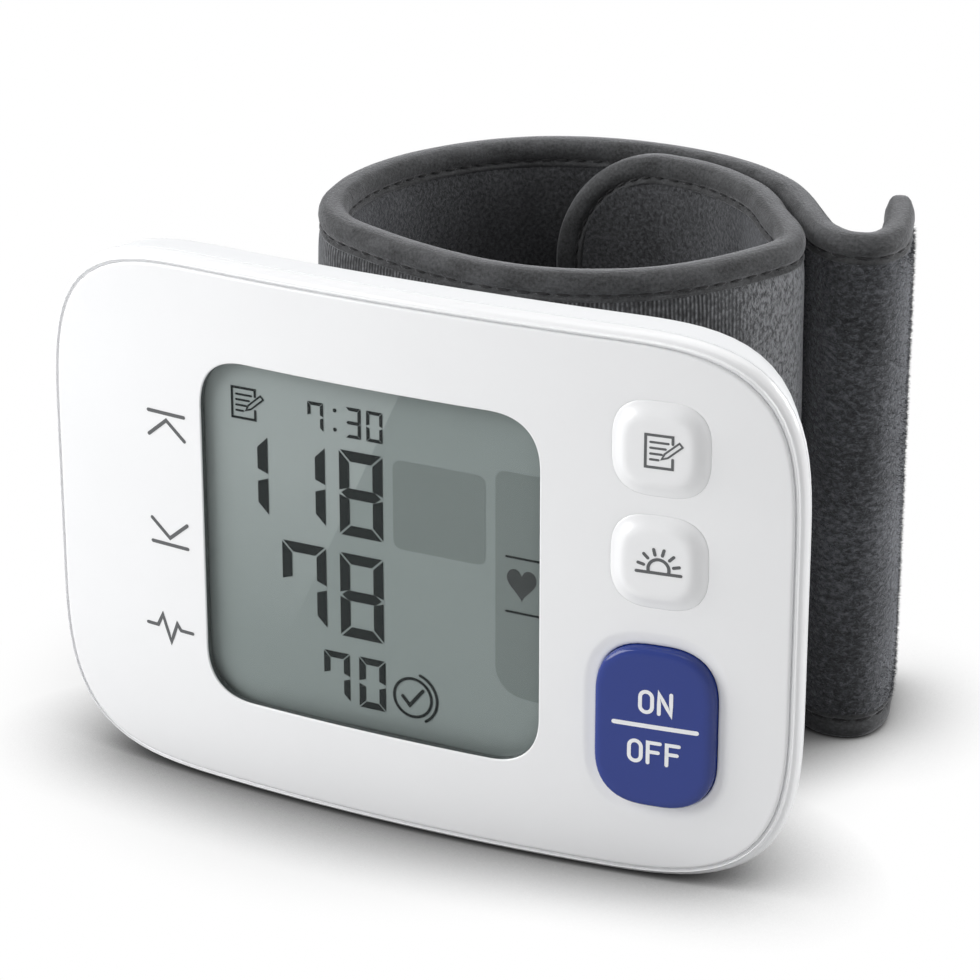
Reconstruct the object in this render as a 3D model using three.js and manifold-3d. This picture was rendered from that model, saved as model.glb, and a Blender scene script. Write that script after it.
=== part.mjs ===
// Wrist blood pressure monitor: a slim curved case that stands on its lower
// edge, with a strap cuff behind it. Millimetres, +Z up, the face looks to -Y.
import * as THREE from 'three';
import { mergeVertices } from 'three/addons/utils/BufferGeometryUtils.js';
import Module from 'manifold-3d';

const wasm = await Module();
wasm.setup();

// Gaps between pieces, and how far a cutting shape runs past what it cuts
const clearance = 0.3;
const runningGap = 0.2;
const overrun = 6;
const samePoint = 0.02;
const roundPower = 2;

// Battery cells: they set the height and the depth of the case
const cell = { radius: 5.25, length: 43.5, nubRadius: 2.6, nubHeight: 1.0, pitch: 10.7 };
const cellEnd = (cell.length + cell.nubHeight) / 2;
const cellY = 9.3;
const cellHeadroom = 7.82;
const cellCover = 0.65;

// Case: the face is an arc about a vertical axis, and a depth is counted back
// from that arc
const faceRadius = 255;
const face = {
  halfWidth: 44.34,
  halfHeight: cellEnd + cellHeadroom,
  corner: 22.1,
  power: 3.5,
  crown: 0.35,
};
const caseDepth = cellY + cell.radius + cellCover;
const caseWall = 1.4;
const restDepth = 1.0;
const partDepth = 2.1;
const partRadius = 292;

// Flank of the case: depth, sideways reach and upward reach past the edge of
// the face, as shares of the case depth
const flankShares = [
  [0.0, 0.012, 0.012],
  [0.03, 0.033, 0.033],
  [0.06, 0.054, 0.056],
  [0.1, 0.063, 0.069],
  [0.145, 0.053, 0.071],
  [0.24, -0.004, 0.071],
  [0.355, -0.072, 0.066],
  [0.49, -0.158, 0.002],
  [0.625, -0.25, -0.08],
  [0.87, -0.47, -0.28],
  [0.95, -0.6, -0.43],
  [1.0, -0.72, -0.62],
  [1.1, -0.95, -0.92],
];

// Front shell: the rim round the face plate, the ledge that carries the plate
// and the lip that enters the rear shell
const plateThickness = 0.9;
const grooveHalf = 0.15;
const ledgeWidth = 2.6;
const ledgeDepth = 1.2;
const lipSetback = 1.5;
const lipDepth = 2.8;

// Window and lens: its half sizes and its centre are shares of the face's
const viewWidthShare = 0.4646;
const viewHeightShare = 0.6684;
const viewXShare = -0.0821;
const viewZShare = 0.003;
const view = {
  halfWidth: face.halfWidth * viewWidthShare,
  halfHeight: face.halfHeight * viewHeightShare,
  x: face.halfWidth * viewXShare,
  z: face.halfHeight * viewZShare,
  corner: 6.2,
  power: 2.5,
};
const lensSetback = 0.2;
const lensThickness = 0.8;

// Keys: each has a crown, a flange behind the face plate and a plunger. Their
// places and half heights are shares of the face's
const keyShares = { x: 0.68, memory: 0.622, morning: 0.2029, start: -0.4223 };
const keyHeightShares = { small: 0.1746, start: 0.306 };
const keyX = face.halfWidth * keyShares.x;
const keyTravel = 0.45;
const flangeReach = 0.8;
const flangeThickness = 0.5;
const plungerRadius = 1.0;
const smallKey = {
  halfWidth: 5.3,
  halfHeight: face.halfHeight * keyHeightShares.small,
  corner: 4.6,
  power: 2.6,
  proud: 0.8,
};
const startKey = {
  halfWidth: 6.55,
  halfHeight: face.halfHeight * keyHeightShares.start,
  corner: 6.0,
  power: 2.5,
  proud: 1.1,
};
// Crown rows: height and inset, as shares of the proud height
const pillowShares = [[1.0, 3.4], [0.86, 2.0], [0.5, 1.0], [0.12, 0.25], [0.0, 0.0]];
const glossShares = [[1.0, 1.0], [0.88, 0.42], [0.6, 0.1], [0.3, 0.0], [0.0, 0.0]];

// Display behind the window
const lcdMargin = 0.75;
const lcdFront = 2.45;
const lcdThickness = 1.4;
const holderWall = 0.9;
const holderRail = 0.6;
const zebra = { width: 28, height: 2, thickness: 0.45, inset: 1.5 };

// Battery bay, near the left end of the case
const cellInset = 18.29;
const cellX = cellInset - face.halfWidth;
const spring = { length: 2.7, topRadius: 1.5, rootRadius: 3.2, wire: 0.5, turns: 3 };
const contact = { side: 7.6, thickness: 0.4 };
const bayWall = 1.0;
const bayFront = 5.8;
const stopBack = 12.5;
const doorMargin = 0.35;
const doorWall = 1.2;
const doorFront = 10;
const doorFoot = 0.6;
const hook = { width: 4, reach: 1.1, thickness: 0.7, front: 12.3 };
const grip = { width: 10, height: 0.7, proud: 0.5, pitch: 1.8, count: 4, rise: 3.6 };
const bayRight = cellX + cell.pitch / 2 + cell.radius + doorMargin;

// Main board and what is on it
const boardGap = 0.8;
const keyStack = 3.12;
const board = {
  front: (keyX * keyX) / (2 * faceRadius) + keyStack,
  thickness: 1.0,
  left: bayRight + bayWall + boardGap,
  inset: 3.4,
};
const dome = { side: 5, thickness: 0.25, actuatorRadius: 1.2, actuatorHeight: 0.2, gap: 0.1 };
const chip = { side: 9, height: 1.0, inset: 9.8, z: 13 };
const buzzer = { radius: 4.5, height: 2.4, inset: 7.8, z: -14 };

// Screws that hold the two shells together
const postRadius = 2.2;
const postSetback = 8.65;
const postInset = 4.57;
const postX = [bayRight + bayWall + clearance + postRadius, keyX - postSetback];
const postZ = face.halfHeight - postInset;
const postEnd = 7;
const bossRadius = 3.1;
const seatY = 10.5;
const screw = { headRadius: 1.8, headHeight: 1.2, shankRadius: 0.85, tip: 3.6 };

// Pump, valve and air line, behind the board at one height above its back
const airSetback = 5.0;
const airY = board.front + board.thickness + airSetback;
const pumpInset = 14.19;
const motor = {
  halfWidth: 5,
  halfDepth: 4,
  corner: 3,
  length: 15,
  x: face.halfWidth - pumpInset,
  top: -6,
};
const pump = { halfWidth: 5.4, halfDepth: 4.0, corner: 1.6, length: 12.2 };
const crank = { shaftRadius: 0.6, eccentricRadius: 1.6, offset: 0.9, thickness: 2.5, stem: 3 };
const crankBore = { radius: 3.3, depth: 8.2 };
const diaphragm = { radius: 2.9, thickness: 0.8 };
const nozzle = { radius: 1.2, length: 2.6 };
const airLine = { radius: 2.0, bore: 1.5, left: -1.0 };
const branch = { radius: 1.4, bore: 0.8, reach: 5.6 };
const valveSetback = 14.2;
const valve = { halfWidth: 3.6, halfDepth: 2.9, corner: 1.0, x: motor.x - valveSetback };
const plunger = { radius: 1.5, length: 8 };
const valveSpring = { length: 2.6, topRadius: 1.1, rootRadius: 1.1, wire: 0.35, turns: 4 };
const capThickness = 0.8;
const valveFloor = 1.2;
const sensor = { halfWidth: 3.3, depth: 6.4, height: 7 };
const portX = 2.5;
const nipple = { radius: 1.7, bore: 0.9, seat: 0.9 };
const socketRadius = 2.6;

// Cuff strap: one spiral path in plan, from the rounded end of the inner wrap,
// round the wrist opening, to the tip of the tail. Its points are shares of
// the loop's width and depth, from the middle of the loop's front wall
const cuffGap = 2.3;
const loop = { width: 52.8, depth: 47, x: 1.9, y: caseDepth + cuffGap };
const strapShares = [
  [-0.2, 0.872], [-0.09, 0.911], [0.03, 0.923], [0.165, 0.898], [0.309, 0.796],
  [0.408, 0.653], [0.475, 0.549], [0.502, 0.455], [0.466, 0.336], [0.396, 0.203],
  [0.306, 0.1], [0.171, 0.023], [0.012, 0.0], [-0.158, 0.034], [-0.284, 0.081],
  [-0.396, 0.143], [-0.468, 0.25], [-0.5, 0.4], [-0.496, 0.52], [-0.457, 0.668],
  [-0.379, 0.806], [-0.279, 0.909], [-0.167, 0.969], [-0.036, 0.998], [0.104, 0.992],
  [0.235, 0.949], [0.358, 0.857], [0.443, 0.74], [0.496, 0.657], [0.543, 0.594],
  [0.6, 0.562], [0.654, 0.58], [0.672, 0.642], [0.656, 0.735], [0.633, 0.851],
];
// Where the two hinges cross the path, as shares of its length
const strapHingeShare = 0.56;
const tailHingeShare = 0.878;
const frontWallShares = [0.31, 0.47];
const curlerShares = [0.06, 0.548];
const bladderShares = [0.1, 0.54];
const strapDrop = 0.07;
const strapTop = face.halfHeight - strapDrop;
const strapHalf = 1.6;
const bindingHalf = 1.65;
const bindingHeight = 3.0;
const skin = 0.6;
const bladderThickness = 0.5;
const flapCorner = 13.5;
const curlerSetback = 3.4;
const tailCorner = 3.5;
const tailInnerCorner = 0.7;
const cutHalf = 3.3;
const trimReach = 8;

// Mount plate that joins the cuff to the rear shell
const plate = { halfWidth: 8, halfHeight: 15.5, postReach: 4, postRadius: 1.5 };
const platePost = { x: 5, z: 10 };
const pushNut = { radius: 3, thickness: 0.6 };

// Facets
const cornerSteps = 6;
const cornerSamples = 90;
const sideSpan = 8;
const arcSteps = 14;
const roundSteps = 12;
const cellSteps = 20;
const coilSteps = 8;
const wireSides = 5;
const pathDivisions = 800;
const pathSamples = 100;
const spanLength = 3.6;

// Worked out from the sizes above
const floorZ = -(face.halfHeight + restDepth);
const plateBack = plateThickness;
const flangeFront = plateBack + clearance;
const boardBack = board.front + board.thickness;
const innerBack = caseDepth - caseWall;
const faceAt = (x) => (x * x) / (2 * faceRadius);

// Solids and cuts
function solidOf(geometry) {
  const bare = geometry.clone();
  bare.deleteAttribute('normal');
  bare.deleteAttribute('uv');
  const merged = mergeVertices(bare);
  return new wasm.Manifold(new wasm.Mesh({
    numProp: 3,
    vertProperties: new Float32Array(merged.attributes.position.array),
    triVerts: new Uint32Array(merged.index.array),
  }));
}

function geometryOf(solid) {
  const mesh = solid.getMesh();
  const geometry = new THREE.BufferGeometry();
  geometry.setAttribute('position', new THREE.BufferAttribute(mesh.vertProperties, 3));
  geometry.setIndex(new THREE.BufferAttribute(mesh.triVerts, 1));
  return geometry;
}

const join = (first, ...rest) => rest.reduce((sum, solid) => sum.add(solid), first);
const cut = (first, ...rest) => rest.reduce((sum, solid) => sum.subtract(solid), first);
const common = (first, ...rest) => rest.reduce((sum, solid) => sum.intersect(solid), first);

// A superellipse corner of unit size, its points closer where it bends more
function softCorner(power) {
  const fine = Array.from({ length: cornerSamples + 1 }, (_, i) => {
    const turn = (i / cornerSamples) * (Math.PI / 2);
    return new THREE.Vector2(
      Math.max(Math.cos(turn), 0) ** (2 / power),
      Math.sin(turn) ** (2 / power),
    );
  });
  const reach = [0];
  for (let i = 1; i < cornerSamples; i++) {
    const before = fine[i].clone().sub(fine[i - 1]);
    const after = fine[i + 1].clone().sub(fine[i]);
    const bend = Math.abs(before.cross(after)) / (before.length() * after.length());
    reach.push(reach[i - 1] + Math.sqrt(bend * before.length()));
  }
  const total = reach[reach.length - 1];
  const inner = Array.from({ length: cornerSteps - 1 }, (_, i) => {
    const wanted = (total * (i + 1)) / cornerSteps;
    return fine[reach.findIndex((sum) => sum >= wanted)];
  });
  return [fine[0], ...inner, fine[cornerSamples]];
}

// An outline with soft corners: straight sides joined by superellipse corners,
// its top and bottom sides bowed by a crown
function softOutline({ halfWidth, halfHeight, corner, power, crown = 0, x = 0, z = 0 }) {
  const reach = Math.min(corner, halfWidth, halfHeight);
  const quarter = softCorner(power).map((p) => [
    halfWidth - reach + reach * p.x,
    halfHeight - reach + reach * p.y,
  ]);
  const sideSteps = Math.ceil((halfWidth - reach) / sideSpan - samePoint);
  for (let i = 1; i < sideSteps; i++) {
    quarter.push([(halfWidth - reach) * (1 - i / sideSteps), halfHeight]);
  }
  const bowed = quarter.map(([px, pz]) => [px, pz - crown * (px / halfWidth) ** 2]);
  const left = bowed.map(([px, pz]) => [-px, pz]).reverse();
  const upper = [...bowed, [0, halfHeight], ...left];
  const lower = upper.map(([px, pz]) => [-px, -pz]);
  const points = [...upper, ...lower].map(([px, pz]) => new THREE.Vector2(px + x, pz + z));
  return points.filter((p, i) => p.distanceTo(points[(i + 1) % points.length]) > samePoint);
}

// An outline in the X-Z plane, drawn out along Y
function prism(outline, front, back) {
  const geometry = new THREE.ExtrudeGeometry(new THREE.Shape(outline), {
    depth: back - front,
    bevelEnabled: false,
  });
  return solidOf(geometry.rotateX(Math.PI / 2).translate(0, back, 0));
}

// An outline in plan, drawn out along Z
function column(outline, low, high) {
  const geometry = new THREE.ExtrudeGeometry(new THREE.Shape(outline), {
    depth: high - low,
    bevelEnabled: false,
  });
  return solidOf(geometry.translate(0, 0, low));
}

// A box between two opposite corners
function box(corner, opposite) {
  const size = corner.map((value, k) => Math.abs(opposite[k] - value));
  const middle = corner.map((value, k) => (value + opposite[k]) / 2);
  return solidOf(new THREE.BoxGeometry(...size).translate(...middle));
}

// A round bar along Y, Z or X
function barY(radius, x, z, front, back) {
  const geometry = new THREE.CylinderGeometry(radius, radius, back - front, roundSteps);
  return solidOf(geometry.translate(x, (front + back) / 2, z));
}

function barZ(radius, x, y, low, high) {
  const geometry = new THREE.CylinderGeometry(radius, radius, high - low, roundSteps);
  return solidOf(geometry.rotateX(Math.PI / 2).translate(x, y, (low + high) / 2));
}

function barX(radius, y, z, left, right) {
  const geometry = new THREE.CylinderGeometry(radius, radius, right - left, roundSteps);
  return solidOf(geometry.rotateZ(Math.PI / 2).translate((left + right) / 2, y, z));
}

// A closed skin over rings of equal count, the first ring in front
function loft(rings) {
  const count = rings[0].length;
  const index = [];
  for (let row = 0; row + 1 < rings.length; row++) {
    for (let i = 0; i < count; i++) {
      const a = row * count + i;
      const b = row * count + ((i + 1) % count);
      index.push(a, a + count, b, b, a + count, b + count);
    }
  }
  const last = (rings.length - 1) * count;
  for (let i = 1; i + 1 < count; i++) {
    index.push(0, i, i + 1, last, last + i + 1, last + i);
  }
  const geometry = new THREE.BufferGeometry();
  geometry.setAttribute('position', new THREE.Float32BufferAttribute(rings.flat(2), 3));
  geometry.setIndex(index);
  return solidOf(geometry);
}

// The space between two depths behind the face, or in front of or behind the
// parting line
function arcColumn(front, back, radius = faceRadius) {
  const reach = face.halfWidth + overrun;
  const plan = [];
  for (let i = 0; i <= arcSteps; i++) {
    const x = reach * ((2 * i) / arcSteps - 1);
    plan.push(new THREE.Vector2(x, front + (x * x) / (2 * radius)));
  }
  for (let i = arcSteps; i >= 0; i--) {
    const x = reach * ((2 * i) / arcSteps - 1);
    plan.push(new THREE.Vector2(x, back + (x * x) / (2 * radius)));
  }
  return column(plan, floorZ - overrun, face.halfHeight + overrun);
}

const slab = (front, back) => arcColumn(front, back);
const aheadOfParting = (depth) => arcColumn(-overrun, depth, partRadius);
const behindParting = (depth) => arcColumn(depth, caseDepth + overrun, partRadius);

// The face outline, let out or drawn in by a reach
function faceOutline(side, top = side) {
  return softOutline({
    halfWidth: face.halfWidth + side,
    halfHeight: face.halfHeight + top,
    corner: face.corner + Math.min(side, top),
    power: face.power,
    crown: face.crown,
  });
}

// The solid inside the case flank, drawn in by an inset
function flank(inset) {
  return loft(flankShares.map(([depth, side, top]) => {
    const outline = faceOutline(side * caseDepth - inset, top * caseDepth - inset);
    return outline.map((p) => [p.x, depth * caseDepth + faceAt(p.x), p.y]);
  }));
}

const aboveFloor = box(
  [-face.halfWidth - overrun, -overrun, floorZ],
  [face.halfWidth + overrun, caseDepth + 2 * overrun, face.halfHeight + overrun],
);
const outerCase = common(flank(0), aboveFloor);
const innerCase = common(flank(caseWall), slab(-overrun, innerBack));

// Keys
const keys = {
  memory: { ...smallKey, x: keyX, z: face.halfHeight * keyShares.memory, rows: pillowShares },
  morning: { ...smallKey, x: keyX, z: face.halfHeight * keyShares.morning, rows: pillowShares },
  start: { ...startKey, x: keyX, z: face.halfHeight * keyShares.start, rows: glossShares },
};

function keyOutline(key, reach) {
  return softOutline({
    ...key,
    halfWidth: key.halfWidth + reach,
    halfHeight: key.halfHeight + reach,
    corner: key.corner + Math.max(reach, -key.corner / 2),
  });
}

function keySolid(key) {
  const middleOfFlange = flangeFront + flangeThickness / 2;
  const rows = key.rows.map(([height, inset]) => [-height * key.proud, inset * key.proud]);
  const crown = loft([...rows, [middleOfFlange, 0]].map(([depth, inset]) => (
    keyOutline(key, -inset).map((p) => [p.x, depth + faceAt(p.x), p.y])
  )));
  const flange = common(
    prism(keyOutline(key, flangeReach), -overrun, caseDepth),
    slab(flangeFront, flangeFront + flangeThickness),
  );
  const actuatorFront = board.front - clearance - dome.thickness - dome.actuatorHeight;
  const stemEnd = actuatorFront - keyTravel - dome.gap;
  const stem = barY(plungerRadius, key.x, key.z, middleOfFlange + faceAt(key.x), stemEnd);
  return join(crown, flange, stem);
}

const keyHole = (key) => prism(keyOutline(key, runningGap), -overrun, caseDepth);
const viewOutline = (reach) => softOutline({
  ...view,
  halfWidth: view.halfWidth + reach,
  halfHeight: view.halfHeight + reach,
  corner: view.corner + reach,
});

function facePlate() {
  const outline = faceOutline(-grooveHalf);
  const whole = common(prism(outline, -overrun, caseDepth), slab(0, plateThickness));
  const viewHole = prism(viewOutline(0), -overrun, caseDepth);
  return cut(whole, viewHole, ...Object.values(keys).map(keyHole));
}

function viewLens() {
  const whole = prism(viewOutline(-clearance), -overrun, caseDepth);
  return common(whole, slab(lensSetback, lensSetback + lensThickness));
}

// Places of the four screw posts
const posts = postX.flatMap((x) => [[x, postZ], [x, -postZ]]);

function frontShell() {
  const rim = common(outerCase, aheadOfParting(partDepth));
  const lip = common(
    prism(faceOutline(-lipSetback), -overrun, caseDepth),
    slab(ledgeDepth, lipDepth),
  );
  const recess = common(
    prism(faceOutline(grooveHalf), -overrun, caseDepth),
    slab(-overrun, ledgeDepth),
  );
  const opening = prism(faceOutline(-ledgeWidth), -overrun, caseDepth);
  const ring = cut(join(rim, lip), recess, opening);
  const pillars = posts.map(([x, z]) => {
    const front = faceAt(x) + plateBack + clearance;
    const tip = screw.tip - clearance;
    const pilot = barY(screw.shankRadius + clearance, x, z, tip, postEnd + overrun);
    const web = common(lip, box(
      [x - postRadius / 2, 0, z],
      [x + postRadius / 2, lipDepth + overrun, z + Math.sign(z) * overrun],
    ));
    return cut(join(barY(postRadius, x, z, front, postEnd), web), pilot);
  });
  return join(ring, ...pillars);
}

// Battery bay: two cells side by side, one turned over
const cellPlaces = [
  { x: cellX - cell.pitch / 2, up: 1 },
  { x: cellX + cell.pitch / 2, up: -1 },
];
const bay = {
  left: cellX - cell.pitch / 2 - cell.radius - doorMargin,
  right: bayRight,
  nubStop: cellEnd + clearance + contact.thickness + clearance,
  springStop: cellEnd + clearance + spring.length + clearance + contact.thickness + clearance,
};
const doorLow = -cellEnd - doorFoot;

function rearShell() {
  const outer = common(outerCase, behindParting(partDepth + runningGap), slab(-overrun, caseDepth));
  const doorway = box(
    [bay.left, doorFront - clearance, doorLow - clearance],
    [bay.right, caseDepth + 2 * overrun, face.halfHeight + overrun],
  );
  const shell = cut(outer, innerCase, doorway);
  const bosses = posts.map(([x, z]) => (
    barY(bossRadius, x, z, postEnd + clearance, caseDepth)
  ));
  const divider = box(
    [bay.right, bayFront, -bay.springStop - bayWall],
    [bay.right + bayWall, caseDepth + overrun, bay.springStop + bayWall],
  );
  const stops = cellPlaces.flatMap(({ x, up }) => [
    [x, up, bay.nubStop],
    [x, -up, bay.springStop],
  ]).map(([x, side, stop]) => {
    const reach = cell.pitch / 2 - clearance / 2;
    const wall = (back) => box(
      [x - reach, bayFront, side * stop],
      [x + reach, back, side * (face.halfHeight + overrun)],
    );
    const backing = common(wall(stopBack), flank(doorWall + clearance));
    return join(wall(doorFront - clearance), backing);
  });
  const inside = common(
    join(divider, ...stops, ...bosses),
    flank(caseWall / 2),
    slab(-overrun, caseDepth),
  );
  const holes = posts.flatMap(([x, z]) => [
    barY(screw.shankRadius + clearance, x, z, 0, caseDepth + overrun),
    barY(screw.headRadius + clearance, x, z, seatY, caseDepth + overrun),
  ]);
  const plateHoles = platePosts.map(([x, z]) => (
    barY(plate.postRadius + clearance, x, z, boardBack, caseDepth + overrun)
  ));
  const port = barY(nipple.radius + clearance, portX, 0, innerBack - overrun, caseDepth + overrun);
  return cut(join(shell, inside), ...holes, ...plateHoles, port);
}

function batteryDoor() {
  const doorSkin = cut(
    common(outerCase, slab(-overrun, caseDepth)),
    common(flank(doorWall), slab(-overrun, caseDepth - doorWall)),
  );
  const panel = common(doorSkin, box(
    [bay.left + clearance, doorFront, doorLow],
    [bay.right - clearance, caseDepth + 2 * overrun, face.halfHeight + overrun],
  ));
  const hookSpan = (low, back) => common(
    box(
      [cellX - hook.width / 2, 0, low],
      [cellX + hook.width / 2, caseDepth + overrun, doorLow + hook.reach],
    ),
    slab(hook.front, back),
  );
  const hookTip = hookSpan(doorLow - hook.reach, hook.front + hook.thickness);
  const hookWeb = hookSpan(doorLow, caseDepth - doorWall / 2);
  const ridges = Array.from({ length: grip.count }, (_, i) => {
    const z = doorLow + grip.rise + i * grip.pitch;
    return common(
      box(
        [cellX - grip.width / 2, 0, z],
        [cellX + grip.width / 2, caseDepth + overrun, z + grip.height],
      ),
      slab(caseDepth - doorWall / 2, caseDepth + grip.proud),
    );
  });
  return join(panel, hookTip, hookWeb, ...ridges);
}

function batteryCell({ x, up }) {
  const half = cellEnd;
  const shoulder = half - cell.nubHeight;
  const profile = [
    [0, -half], [cell.radius, -half], [cell.radius, shoulder],
    [cell.nubRadius, shoulder], [cell.nubRadius, half], [0, half],
  ].map(([r, z]) => new THREE.Vector2(r, z));
  const geometry = new THREE.LatheGeometry(profile, cellSteps).rotateX(Math.PI / 2);
  if (up < 0) geometry.rotateX(Math.PI);
  return solidOf(geometry.translate(x, cellY, 0));
}

// A coil spring along Z whose radius runs from root to top
class Coil extends THREE.Curve {
  constructor(root, top, length, turns) {
    super();
    Object.assign(this, { root, top, length, turns });
  }

  getPoint(t, target = new THREE.Vector3()) {
    const radius = this.root + (this.top - this.root) * t;
    const turn = t * this.turns * 2 * Math.PI;
    return target.set(radius * Math.cos(turn), radius * Math.sin(turn), this.length * t);
  }
}

function coil({ rootRadius, topRadius, length, turns, wire }) {
  const section = new THREE.Shape(
    Array.from({ length: wireSides }, (_, i) => {
      const turn = (i / wireSides) * 2 * Math.PI;
      return new THREE.Vector2((wire / 2) * Math.cos(turn), (wire / 2) * Math.sin(turn));
    }),
  );
  return new THREE.ExtrudeGeometry(section, {
    steps: turns * coilSteps,
    extrudePath: new Coil(rootRadius, topRadius, length - wire, turns),
    bevelEnabled: false,
  }).translate(0, 0, wire / 2);
}

function cellSpring({ x, up }) {
  const geometry = coil(spring);
  geometry.translate(0, 0, -cellEnd - clearance - spring.length);
  if (up < 0) geometry.rotateX(Math.PI);
  return solidOf(geometry.translate(x, cellY, 0));
}

function contactPlate(x, side, stop) {
  const half = contact.side / 2;
  const middle = side * (stop - clearance - contact.thickness / 2);
  return common(flank(caseWall + clearance), box(
    [x - half, cellY - half, middle - contact.thickness / 2],
    [x + half, cellY + half, middle + contact.thickness / 2],
  ));
}

// Display
const lcdBack = lcdFront + lcdThickness;
const lcdEdge = {
  left: view.x - view.halfWidth - lcdMargin,
  right: view.x + view.halfWidth + lcdMargin,
  low: view.z - view.halfHeight - lcdMargin,
  high: view.z + view.halfHeight + lcdMargin,
};

function displayPanel() {
  return box([lcdEdge.left, lcdFront, lcdEdge.low], [lcdEdge.right, lcdBack, lcdEdge.high]);
}

function displayHolder() {
  const inner = clearance;
  const outer = clearance + holderWall;
  const frontY = lcdFront + clearance / 2;
  const frame = box(
    [lcdEdge.left - outer, frontY, lcdEdge.low - outer],
    [lcdEdge.right + outer, lcdBack, lcdEdge.high + outer],
  );
  const rails = [
    [lcdEdge.low - outer, lcdEdge.low + holderRail],
    [lcdEdge.high - holderRail, lcdEdge.high + outer],
  ].map(([low, high]) => box(
    [board.left, lcdFront + lcdThickness / 2, low],
    [lcdEdge.right + outer, board.front - clearance, high],
  ));
  const opening = box(
    [lcdEdge.left - inner, 0, lcdEdge.low - inner],
    [lcdEdge.right + inner, lcdBack + clearance, lcdEdge.high + inner],
  );
  return cut(join(frame, ...rails), opening);
}

function zebraStrip() {
  const low = lcdEdge.low + zebra.inset;
  const back = board.front - clearance;
  const middle = (board.left + lcdEdge.right) / 2;
  return box(
    [middle - zebra.width / 2, back - zebra.thickness, low],
    [middle + zebra.width / 2, back, low + zebra.height],
  );
}

function mainBoard() {
  const whole = prism(faceOutline(-board.inset), board.front, boardBack);
  const right = box(
    [board.left, 0, floorZ],
    [face.halfWidth, caseDepth, face.halfHeight],
  );
  const notches = posts.map(([x, z]) => barY(postRadius + clearance, x, z, 0, caseDepth));
  const keyEdge = box(
    [keyX + startKey.halfWidth, 0, floorZ],
    [face.halfWidth, caseDepth, face.halfHeight],
  );
  const tops = [-1, 1].map((side) => box(
    [board.left - overrun, 0, side * (postZ - postRadius / 2)],
    [face.halfWidth, caseDepth, side * face.halfHeight],
  ));
  return cut(common(whole, right), keyEdge, ...notches, ...tops);
}

function domeSwitch(key) {
  const back = board.front - clearance;
  const front = back - dome.thickness;
  const half = dome.side / 2;
  const tip = front - dome.actuatorHeight;
  return join(
    box([key.x - half, front, key.z - half], [key.x + half, back, key.z + half]),
    barY(dome.actuatorRadius, key.x, key.z, tip, front + dome.thickness / 2),
  );
}

const chipX = board.left + chip.inset;
const buzzerX = board.left + buzzer.inset;

function controllerChip() {
  const half = chip.side / 2;
  const front = boardBack + clearance;
  return box(
    [chipX - half, front, chip.z - half],
    [chipX + half, front + chip.height, chip.z + half],
  );
}

function buzzerDisc() {
  const front = boardBack + clearance;
  return barY(buzzer.radius, buzzerX, buzzer.z, front, front + buzzer.height);
}

// A can with rounded corners on the air system's centre plane
function can({ halfWidth, halfDepth, corner, x }, low, high) {
  const outline = softOutline({
    halfWidth,
    halfHeight: halfDepth,
    corner,
    power: roundPower,
    x,
    z: airY,
  });
  return column(outline, low, high);
}

// Pump: the motor below, the head above it, the crank between them
const pumpLow = motor.top + clearance;
const pumpHigh = pumpLow + pump.length;

function pumpMotor() {
  const body = can(motor, motor.top - motor.length, motor.top);
  const boreLow = motor.top - crank.stem;
  const boreRadius = crank.shaftRadius + clearance;
  return cut(body, barZ(boreRadius, motor.x, airY, boreLow, motor.top + overrun));
}

function pumpHead() {
  const body = can({ ...pump, x: motor.x }, pumpLow, pumpHigh);
  const hollowHigh = pumpLow + crankBore.depth;
  const hollow = barZ(crankBore.radius, motor.x, airY, pumpLow - overrun, hollowHigh);
  const left = motor.x - pump.halfWidth;
  const outlet = barX(nozzle.radius, airY, 0, left - nozzle.length, left + nozzle.radius / 2);
  return join(cut(body, hollow), outlet);
}

function pumpCrank() {
  const low = motor.top - crank.stem + clearance;
  const discLow = pumpLow + clearance;
  const high = discLow + crank.thickness;
  const shaft = barZ(crank.shaftRadius, motor.x, airY, low, high);
  const disc = barZ(crank.eccentricRadius, motor.x + crank.offset, airY, discLow, high);
  return join(shaft, disc);
}

function pumpDiaphragm() {
  const high = pumpLow + crankBore.depth - clearance;
  return barZ(diaphragm.radius, motor.x, airY, high - diaphragm.thickness, high);
}

// Valve: a plunger in a bore, a spring above it and a cap
const valveLow = branch.reach + clearance;
const plungerLow = valveLow + valveFloor;
const plungerHigh = plungerLow + plunger.length;
const valveHigh = plungerHigh + clearance + valveSpring.length;

function valveBody() {
  const boreLow = plungerLow - clearance;
  const bore = barZ(plunger.radius + clearance, valve.x, airY, boreLow, valveHigh + overrun);
  return cut(can(valve, valveLow, valveHigh), bore);
}

const valvePlunger = () => barZ(plunger.radius, valve.x, airY, plungerLow, plungerHigh);

const valveCoil = () => (
  solidOf(coil(valveSpring).translate(valve.x, airY, plungerHigh + clearance))
);

const valveLid = () => can(valve, valveHigh + clearance, valveHigh + clearance + capThickness);

function pressureSensor() {
  const front = boardBack + clearance;
  return box(
    [valve.x - sensor.halfWidth, front, -valveLow - sensor.height],
    [valve.x + sensor.halfWidth, front + sensor.depth, -valveLow],
  );
}

function airManifold() {
  const right = motor.x - pump.halfWidth - clearance;
  const line = barX(airLine.radius, airY, 0, airLine.left, right);
  const reach = branch.reach;
  const branches = barZ(branch.radius, valve.x, airY, -reach, reach);
  const branchBore = barZ(branch.bore, valve.x, airY, -overrun, overrun);
  const socket = barY(socketRadius, portX, 0, airY, innerBack - clearance);
  const well = barY(nipple.radius + clearance, portX, 0, airY, innerBack + overrun);
  const bore = barX(airLine.bore, airY, 0, portX, right + overrun);
  return cut(join(line, branches, socket), bore, branchBore, well);
}

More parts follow.
